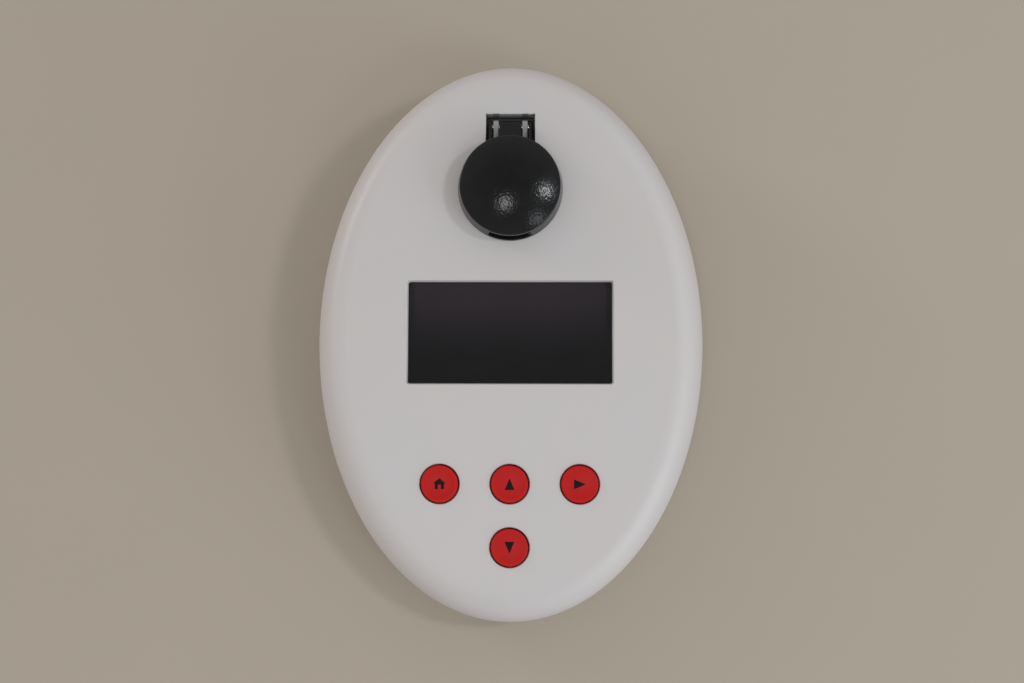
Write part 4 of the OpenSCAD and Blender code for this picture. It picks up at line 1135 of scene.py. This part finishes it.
def hinge_slot():
    """A cutter for the hinge slot: a rectangle with a round rim."""
    lid = sizes("lid")
    centre, run = (lid.slot_front + lid.slot_back) / 2, lid.slot_back - lid.slot_front
    edge = sizes("case").edge_round

    def outline(d):
        corner = edge + max(d, 0)
        return rounded_rectangle(2 * (lid.slot_half + d), run + 2 * d, corner) + [0, centre]

    return rim_cutter("slot", outline, edge, lid.slot_depth, 0, at_lid)


def hinge_ears():
    """The two ears that stand in the slot: flat on top, round behind the pin."""
    lid = sizes("lid")
    foot = -lid.slot_depth - BEYOND / 2
    flat = math.asin(lid.hinge_depth / lid.ear_round)
    back = arc((lid.hinge_reach, -lid.hinge_depth), lid.ear_round, 0, math.degrees(flat), EAR_STEPS)
    outline = [[lid.ear_front, foot], [lid.hinge_reach + lid.ear_round, foot], *back, [lid.ear_front, 0]]
    return [
        bevelled(prism("ear", outline, start, end, side_view), SMALL_EDGE)
        for start, end in ((-lid.ear_out, -lid.ear_in), (lid.ear_in, lid.ear_out))]


def socket_recess():
    """A cutter for the recess at the back, open outwards."""
    case = sizes("case")
    height = case.recess_high - case.recess_low
    outline = rounded_rectangle(case.recess_width, height, case.edge_round * 2)
    outline += [0, case.recess_low + height / 2]
    return prism("recess", outline, -case.depth, -case.recess_front, lambda p: p[..., [0, 2, 1]] * [1, -1, 1])


def socket_holes():
    """Cutters for the holes in the recess's wall that the two sockets look through."""
    case = sizes("case")
    front, back = case.recess_front - case.wall - BEYOND, case.recess_front + BEYOND
    return [
        block("hole", (low(node, X) - SOCKET_GAP, front, low(node, Z) - SOCKET_GAP),
              (high(node, X) + SOCKET_GAP, back, high(node, Z) + SOCKET_GAP), upright)
        for node in ("usb_socket", "power_jack")]


def key_places():
    """Each key's name and its centre on the face."""
    keys = sizes("keys")
    return {
        "home": (-keys.pitch_x, keys.row), "up": (0, keys.row), "go": (keys.pitch_x, keys.row),
        "down": (0, keys.row - keys.pitch_y)}


class PieceOperator:
    """What the operators share."""

    bl_options = {"REGISTER", "UNDO"}


class UpperCase(PieceOperator, bpy.types.Operator):
    """Draws the upper half of the case with its shoulder, openings, hinge slot and socket recess"""

    bl_idname = "fluorometer.upper_case"
    bl_label = "Upper case"

    def execute(self, context):
        case, lid, well = sizes("case"), sizes("lid"), sizes("well")
        display, keys = sizes("display"), sizes("keys")
        t = angles(CASE_SEGMENTS)
        tongue_in = case.seam_step + case.wall - case.tongue_wall
        edge_step = case.edge_round / (case.face_height - case.seam)
        turn = np.linspace(0, math.pi / 2, ROUND_STEPS + 1)
        edge = [shoulder(t, edge_step * (1 - math.cos(a)), case.edge_round * (1 - math.sin(a))) for a in turn]
        rise = [shoulder(t, step, 0) for step in (
            *np.linspace(edge_step, 1, SHOULDER_STEPS + 1)[1:], *np.linspace(1, 2, ROUND_STEPS + 1)[1:])]
        shell = loft("case_top", np.stack([
            level_ring(t, tongue_in, case.seam - case.tongue), level_ring(t, tongue_in, case.seam),
            *edge, *rise]))
        t = angles(CASE_SEGMENTS // 2)
        inside = tongue_in + case.tongue_wall
        cavity = loft("cavity", np.stack([
            level_ring(t, inside, case.seam - case.tongue - BEYOND), level_ring(t, inside, case.seam),
            *[shoulder(t, step, case.wall) for step in np.linspace(0, 1, SHOULDER_STEPS // 2 + 1)]]))
        posts, holes = screw_posts()
        more_posts, more_holes = case_posts(
            case.seam - BEYOND, 2 * case.face_height, case.seam - 2 * BEYOND, lambda tip: tip + BEYOND)
        slot_box = block(
            "slot_box",
            (-lid.slot_half - SLOT_WALL, lid.slot_front - SLOT_WALL, -lid.slot_depth - SLOT_WALL),
            (lid.slot_half + SLOT_WALL, lid.slot_back + SLOT_WALL, 0), at_lid)
        recess_box = block(
            "recess_box", (-case.recess_width / 2 - case.wall, case.recess_front - case.wall, case.seam),
            (case.recess_width / 2 + case.wall, case.depth, case.recess_high + case.wall), upright)
        cut(cavity, gather("posts", posts + more_posts), slot_box, recess_box)
        cut(shell, cavity)

        def window(d):
            corner = display.corner + max(d, 0)
            return rounded_rectangle(display.width + 2 * d, display.height + 2 * d, corner)

        through = case.wall + BEYOND
        opening = rim_cutter(
            "opening", window, display.edge_round, through, display.draft, at(0, display.offset))
        rims = [
            turned("hole", rim_profile(keys.hole / 2, case.edge_round, through), at(*centre))
            for centre in key_places().values()]
        collar = turned("hole", rim_profile(well.collar_hole / 2, display.edge_round, through), at_lid)
        cut(shell, opening, gather("rims", [*rims, collar, *holes, *more_holes]), hinge_slot(),
            socket_recess(), gather("holes", socket_holes()))
        join(shell, gather("ears", hinge_ears()))
        cut(shell, across_hinge("bar", lid.pin / 2 + EAR_GAP, 2 * lid.ear_out + BEYOND))
        dress(shell, "case_plastic", "instrument", "top_housing")
        return {"FINISHED"}


class LowerCase(PieceOperator, bpy.types.Operator):
    """Draws the lower half of the case with its screw wells and the seats of its feet"""

    bl_idname = "fluorometer.lower_case"
    bl_label = "Lower case"

    def execute(self, context):
        case, feet = sizes("case"), sizes("feet")
        t = angles(CASE_SEGMENTS)
        top = case.seam - case.seam_groove
        shell = loft("case_base", np.stack([
            *[base_ring(t, step, 0) for step in np.linspace(0, 1, BASE_STEPS + 1)[:-1]],
            level_ring(t, case.seam_step, top - case.edge_round),
            level_ring(t, case.seam_step + case.edge_round / 2, top - case.edge_round / 4),
            level_ring(t, case.seam_step + case.edge_round, top)]))
        t = angles(CASE_SEGMENTS // 2)
        rebate = case.seam_step + case.wall - case.tongue_wall - REBATE_GAP
        cavity = loft("cavity", np.stack([
            *[base_ring(t, step, case.wall) for step in np.linspace(0, 1, BASE_STEPS // 2 + 1)],
            level_ring(t, rebate, top - case.tongue), level_ring(t, rebate, case.seam + BEYOND)]))
        posts, holes = case_posts(
            case.foot_height, case.seam - BEYOND, case.foot_height, lambda tip: case.seam + BEYOND)
        for node, board in (("main_screws", "main_board"), ("rear_board_screws", "rear_board")):
            top = low(board, Z)
            for centre in screw_places(node):
                posts.append(round_bar(POST, case.foot_height, top, moved(centre)))
                holes.append(round_bar(THREAD, centre[Z], top + BEYOND, moved(centre), THREAD_SEGMENTS))
        cut(cavity, gather("posts", posts))
        under = [
            turned("well", rim_profile(width / 2, rim, depth), under_base(centre))
            for node, width, rim, depth in (
                ("case_screws", feet.screw_well, case.edge_round, feet.screw_well_depth),
                ("rubber_feet", feet.diameter, case.edge_round / 2, feet.seat))
            for centre, _ in middles(node)]
        cut(shell, cavity, gather("under", under), gather("holes", holes))
        dress(shell, "case_plastic", "instrument", "bottom_housing")
        return {"FINISHED"}


def under_base(centre):
    """A place on the base's underside, with the upright turned down."""
    base = sizes("case").foot_height
    return lambda points: np.asarray(points, float) * [1, -1, -1] + [centre[X], centre[Y], base]


def screw_places(node):
    """Each screw of a node: the middle of its head and the depth of its tip.

    The screws stand head up, so the points at the highest level are the rims of their heads, and a rim
    is the points within a head's width of its first one.
    """
    points = points_of(node)
    rims = points[points[:, Z] > points[:, Z].max() - BEYOND / 2]
    found = []
    while len(rims):
        near = np.linalg.norm(rims[:, :Z] - rims[0, :Z], axis=1) < 2 * POST
        centre = (rims[near].min(axis=0) + rims[near].max(axis=0)) / 2
        found.append((*centre[:Z], points[:, Z].min()))
        rims = rims[~near]
    return found


class Feet(PieceOperator, bpy.types.Operator):
    """Turns the four rubber feet and dresses the screws beside them"""

    bl_idname = "fluorometer.feet"
    bl_label = "Feet and case screws"

    def execute(self, context):
        feet, case = sizes("feet"), sizes("case")
        r, top = feet.diameter / 2, case.foot_height + feet.seat
        groove_in, groove_out, wall = r * GROOVE_IN, r * GROOVE_OUT, r - FOOT_GAP
        profile = rounded([
            [AXIS, 0], [groove_in, 0, FINE_EDGE], [groove_in, feet.groove], [groove_out, feet.groove],
            [groove_out, 0, FINE_EDGE], [r - feet.draft, 0, FOOT_EDGE], [wall, case.foot_height],
            [wall, top], [AXIS, top]])
        made = [
            turned("foot", profile, moved(centre), segments=FOOT_SEGMENTS)
            for centre, _ in middles("rubber_feet")]
        dress(gather("feet", made), "foot_rubber", "instrument", "rubber_feet")
        heads = copy_of("case_screws", "case_screw_heads", FINE_EDGE)
        dress(heads, "screw_steel", "instrument", "case_screws")
        return {"FINISHED"}


def dish_height(r):
    """Height of a key's top at a radius: flat on the rim, and a shallow bowl inside it."""
    keys = sizes("keys")
    bowl = keys.diameter / 2 - keys.rim
    curve = (bowl ** 2 + keys.dish ** 2) / (2 * keys.dish)
    sunk = keys.rise - keys.dish + curve - np.sqrt(curve ** 2 - np.minimum(r, bowl) ** 2)
    return np.where(r < bowl, sunk, keys.rise)


def key_profile():
    """A key from its stem's foot, out round the flange, up the cap and in over the dish."""
    keys = sizes("keys")
    cap, bowl = keys.diameter / 2, keys.diameter / 2 - keys.rim
    flange_top = -keys.flange_depth + keys.flange_thickness
    dish = np.linspace(bowl, AXIS, DISH_STEPS)[1:]
    return rounded([
        [AXIS, -keys.stem_depth], [keys.stem / 2, -keys.stem_depth, SMALL_EDGE],
        [keys.stem / 2, -keys.flange_depth], [keys.flange / 2, -keys.flange_depth],
        [keys.flange / 2, flange_top], [cap, flange_top], [cap, keys.rise, keys.edge],
        [bowl, keys.rise, FULL_EDGE], *np.column_stack([dish, dish_height(dish)]).tolist()])


def arrow(way):
    """A three-sided arrow that points up (1) or down (-1), anticlockwise."""
    sign = sizes("keys").sign
    half, end = way * ARROW_HALF * sign, way * sign / 2
    return [[-half, -end], [half, -end], [0, end]]


def start_sign():
    """A three-sided arrow that points right."""
    return [[y, -x] for x, y in arrow(1)]


def home_sign():
    """A little house: a square with a roof and a door."""
    u = sizes("keys").sign / 10
    return [[x * u, y * u] for x, y in (
        (-4, -4.4), (-1.3, -4.4), (-1.3, -0.6), (1.3, -0.6), (1.3, -4.4), (4, -4.4), (4, 0.4), (5.4, 0.4),
        (0, 5), (-5.4, 0.4), (-4, 0.4))]


def printed(name, outline, centre):
    """A sign printed in a key's dish: each side of the outline is split so that it follows the bowl."""
    keys = sizes("keys")
    corners = np.asarray(outline)
    share = np.linspace(0, 1, SIGN_STEPS + 1)[:-1, None]
    line = np.concatenate([a + (b - a) * share for a, b in zip(corners, np.roll(corners, -1, axis=0))])
    bowl = dish_height(np.linalg.norm(line, axis=1))
    rings = [np.column_stack([line, bowl + z]) for z in (-SIGN_SINK, keys.ink)]
    return loft(name, at(*centre)(np.stack(rings)))


class Keys(PieceOperator, bpy.types.Operator):
    """Turns the four red keys and prints a plain sign on each"""

    bl_idname = "fluorometer.keys"
    bl_label = "Keys and signs"

    def execute(self, context):
        signs = {"home": home_sign(), "up": arrow(1), "go": start_sign(), "down": arrow(-1)}
        for name, centre in key_places().items():
            body = name + "_button"
            key = turned("key_" + name, key_profile(), at(*centre), segments=KEY_SEGMENTS)
            dress(key, "key_red", body, name + "_key")
            sign = printed("sign_" + name, signs[name], centre)
            sign.data.materials.append(finish("sign_ink"))
            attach(sign, body)
        return {"FINISHED"}


class TubeWell(PieceOperator, bpy.types.Operator):
    """Turns the tube well: collar, raised ring, cap seat, bore and sleeve, with four light paths"""

    bl_idname = "fluorometer.tube_well"
    bl_label = "Tube well"

    def execute(self, context):
        well, case = sizes("well"), sizes("case")
        e, seat, bore = well.edge, well.seat / 2, well.bore / 2
        made = turned("well", rounded([
            [AXIS, -well.sleeve_end], [well.sleeve / 2, -well.sleeve_end],
            [well.sleeve / 2, -well.flange_depth], [well.flange, -well.flange_depth],
            [well.flange, -case.wall], [well.collar / 2, -case.wall], [well.collar / 2, well.collar_top, e],
            [well.ring / 2, well.collar_top, e / 2], [well.ring / 2, well.ring_top, e],
            [seat + well.lead_in, well.ring_top, e / 2], [seat, well.ring_top - well.lead_in],
            [seat, -well.seat_depth, e / 2], [bore + well.lead_in, -well.seat_depth, e / 2],
            [bore, -well.seat_depth - well.lead_in], [bore, -well.bore_end], [well.tip, -well.floor],
            [AXIS, -well.floor]]), at_lid)
        reach = well.sleeve / 2 + BEYOND
        for axes, flip in (([Z, X, Y], [1, 1, 1]), ([X, Z, Y], [1, -1, 1])):
            def along(points, axes=axes, flip=flip):
                return at_lid(np.asarray(points)[..., axes] * flip + [0, 0, -well.light_depth])

            cut(made, round_bar(well.light_path / 2, -reach, reach, along, HOLE_SEGMENTS))
        dress(made, "well_black", "instrument", "tube_well")
        return {"FINISHED"}


class Lid(PieceOperator, bpy.types.Operator):
    """Draws the domed lid with its finger scoop and hinge arms, and the liner, seal and pin"""

    bl_idname = "fluorometer.lid"
    bl_label = "Lid and hinge"

    def execute(self, context):
        lid, well = sizes("lid"), sizes("well")
        foot, rim = lid.foot / 2, lid.rim / 2
        rise = lid.top - lid.rim_height
        dome = (rim ** 2 + rise ** 2) / (2 * rise)
        centre, under = lid.top - dome, dome - lid.dome_wall
        hollow = np.linspace(AXIS, lid.cavity, DISH_STEPS)
        crown = np.linspace(rim, AXIS, DOME_STEPS)[2:]
        shell = turned("lid_cap", rounded([
            *np.column_stack([hollow, centre + np.sqrt(under ** 2 - hollow ** 2)]).tolist(),
            [lid.cavity, lid.gap, SMALL_EDGE], [foot, lid.gap, SOFT_EDGE],
            [rim, lid.rim_height, lid.rim_round],
            *np.column_stack([crown, centre + np.sqrt(dome ** 2 - crown ** 2)]).tolist()]),
            at_lid, segments=LID_SEGMENTS)
        back = lid.place + lid.scoop_depth - rim - lid.scoop
        cut(shell, round_bar(lid.scoop, lid.scoop_low, lid.scoop_high, at(0, back), SCOOP_SEGMENTS))
        arm, arm_width = (lid.arm_in + lid.arm_out) / 2, lid.arm_out - lid.arm_in
        for x, width in ((0, lid.knuckle_width), (-arm, arm_width), (arm, arm_width)):
            join(shell, bevelled(hinge_web(x, width), FINE_EDGE),
                 bevelled(across_hinge("bar", lid.knuckle, width, x), FINE_EDGE))
        cut(shell, across_hinge("bar", lid.pin / 2 + ARM_GAP, 3 * lid.arm_out))
        dress(shell, "lid_black", "lid", "lid_shell")

        wall, step = lid.cavity - LINER_GAP, LINER_TOP - LINER_RIM
        liner = turned("lid_trap", rounded([
            [AXIS, LINER_FLOOR], [TRAP_IN, LINER_FLOOR], [TRAP_IN, TRAP_FOOT, SOFT_EDGE],
            [TRAP_OUT, TRAP_FOOT, SOFT_EDGE], [TRAP_OUT, step], [wall, step, SMALL_EDGE],
            [wall, LINER_TOP], [AXIS, LINER_TOP]]), at_lid)
        dress(liner, "liner_black", "lid", "lid_liner")
        seal_low = well.ring_top + SEAL_GAP
        seal = turned("lid_ring", rounded([
            [SEAL_IN, seal_low, FULL_EDGE], [SEAL_OUT, seal_low, FULL_EDGE], [SEAL_OUT, LINER_FLOOR],
            [SEAL_IN, LINER_FLOOR, SMALL_EDGE]]), at_lid, closed=True)
        dress(seal, "seal_rubber", "lid", "lid_seal")
        pin = bevelled(across_hinge("pin", lid.pin / 2, 2 * lid.arm_out), FINE_EDGE)
        dress(pin, "pin_steel", "instrument", "hinge_pin")
        return {"FINISHED"}


def hinge_web(x, width):
    """The web that joins a knuckle or an arm to the skirt, drawn from the side."""
    lid = sizes("lid")
    across, up = lid.knuckle * math.sin(WEB_LEAN), lid.knuckle * math.cos(WEB_LEAN)
    return prism("web", [
        [lid.web_front, -lid.hinge_depth - lid.web_low], [lid.hinge_reach, -lid.hinge_depth - lid.knuckle],
        [lid.hinge_reach + across, up - lid.hinge_depth], [lid.foot / 2 - WEB_OVERLAP, lid.web_top],
        [lid.web_front, lid.web_top]], x - width / 2, x + width / 2, side_view)


class Sockets(PieceOperator, bpy.types.Operator):
    """Dresses the two sockets at the back"""

    bl_idname = "fluorometer.sockets"
    bl_label = "Sockets"

    def execute(self, context):
        for node, name, edge, slot in (
                ("usb_socket", "usb_shell", SHELL_EDGE, "socket_metal"),
                ("power_jack", "jack_body", SMALL_EDGE, "jack_black")):
            dress(copy_of(node, name, edge), slot, "instrument", node)
        return {"FINISHED"}


class Insides(PieceOperator, bpy.types.Operator):
    """Gives every solid of the frame the finish of its slot"""

    bl_idname = "fluorometer.insides"
    bl_label = "Frame finishes"

    def execute(self, context):
        for row in frame["record"]["subparts"]:
            mesh = frame["nodes"][row["node"]].data
            mesh.materials.clear()
            mesh.materials.append(finish(row["material_slot"]))
        return {"FINISHED"}


class Stage(PieceOperator, bpy.types.Operator):
    """Sets the floor, the soft lamps, the even light all round and the camera"""

    bl_idname = "fluorometer.stage"
    bl_label = "Stage, lamps and camera"

    def execute(self, context):
        stage, scene = sizes("stage"), context.scene
        scene.view_settings.view_transform = "Standard"
        corners = np.array([(-1, -1, 0), (1, -1, 0), (1, 1, 0), (-1, 1, 0)]) * FLOOR_HALF
        floor = solid("floor", corners, [[0, 1, 2, 3]])
        paint = Paint("stage_floor", IOR=1.4)
        paint.coat(
            Base_Color=paint.varied(sizes("colours").floor, 0.985, 1.015, paint.noise(50 * MM, 3)),
            Roughness=0.7 + 0.05 * paint.noise(10 * MM, 2))
        paint.see_through_behind()
        floor.data.materials.append(paint.material)

        world = scene.world = bpy.data.worlds.new("even_light")
        world.use_nodes = True
        sky, light = Tree(world.node_tree), world.node_tree.nodes["Background"]
        light.inputs["Color"].default_value = SKY
        height = sky.part(sky.node("ShaderNodeTexCoord", output="Generated"), Z)
        height = sky.maths("MAXIMUM", height, 0)
        sky.feed(light.inputs["Strength"], stage.horizon + height * (stage.overhead - stage.horizon))

        for name, (shade, where, width) in LAMPS.items():
            lamp = bpy.data.lights.new(name + "_lamp", "AREA")
            lamp.energy = getattr(stage, name + "_light")
            lamp.color, lamp.shape, lamp.size = shade, "DISK", width
            made = linked(lamp.name, lamp)
            made.location = where
            made.rotation_euler = (-Vector(where)).to_track_quat("-Z", "Y").to_euler()

        camera = bpy.data.cameras.new("camera")
        camera.lens, camera.sensor_width = stage.lens, SENSOR
        scene.camera = linked("camera", camera)
        turn = (Matrix.Rotation(stage.side, 3, "Z") @ Matrix.Rotation(stage.tilt, 3, "X")
                @ Matrix.Rotation(stage.roll, 3, "Z"))
        scene.camera.location = Vector(stage.target) + turn @ Vector((0, 0, stage.distance))
        scene.camera.rotation_euler = turn.to_euler()
        return {"FINISHED"}


OPERATORS = (Stage, UpperCase, LowerCase, Feet, Keys, TubeWell, Lid, Sockets, Insides)


class SidePanel(bpy.types.Panel):
    """Lists the pieces and the sizes in the sidebar"""

    bl_idname = "VIEW3D_PT_fluorometer"
    bl_label = "Fluorometer"
    bl_space_type = "VIEW_3D"
    bl_region_type = "UI"
    bl_category = "Fluorometer"

    def draw(self, context):
        for operator in OPERATORS:
            self.layout.operator(operator.bl_idname)
        for group in GROUPS:
            box = self.layout.box()
            values = getattr(context.scene, group)
            for name in values.bl_rna.properties.keys():
                if name not in ("rna_type", "name"):
                    box.prop(values, name)


def register():
    """Registers the classes and gives the scene its sizes."""
    for made in (*GROUPS.values(), *OPERATORS, SidePanel):
        bpy.utils.register_class(made)
    for name, group in GROUPS.items():
        setattr(bpy.types.Scene, name, bpy.props.PointerProperty(type=group))


def unregister():
    """Takes the sizes and the classes away again."""
    for name in GROUPS:
        delattr(bpy.types.Scene, name)
    for made in reversed((*GROUPS.values(), *OPERATORS, SidePanel)):
        bpy.utils.unregister_class(made)


def main():
    """Registers the classes and makes every piece in order."""
    register()
    for operator in OPERATORS:
        group, name = operator.bl_idname.split(".")
        getattr(getattr(bpy.ops, group), name)()


if __name__ == "__main__":
    main()
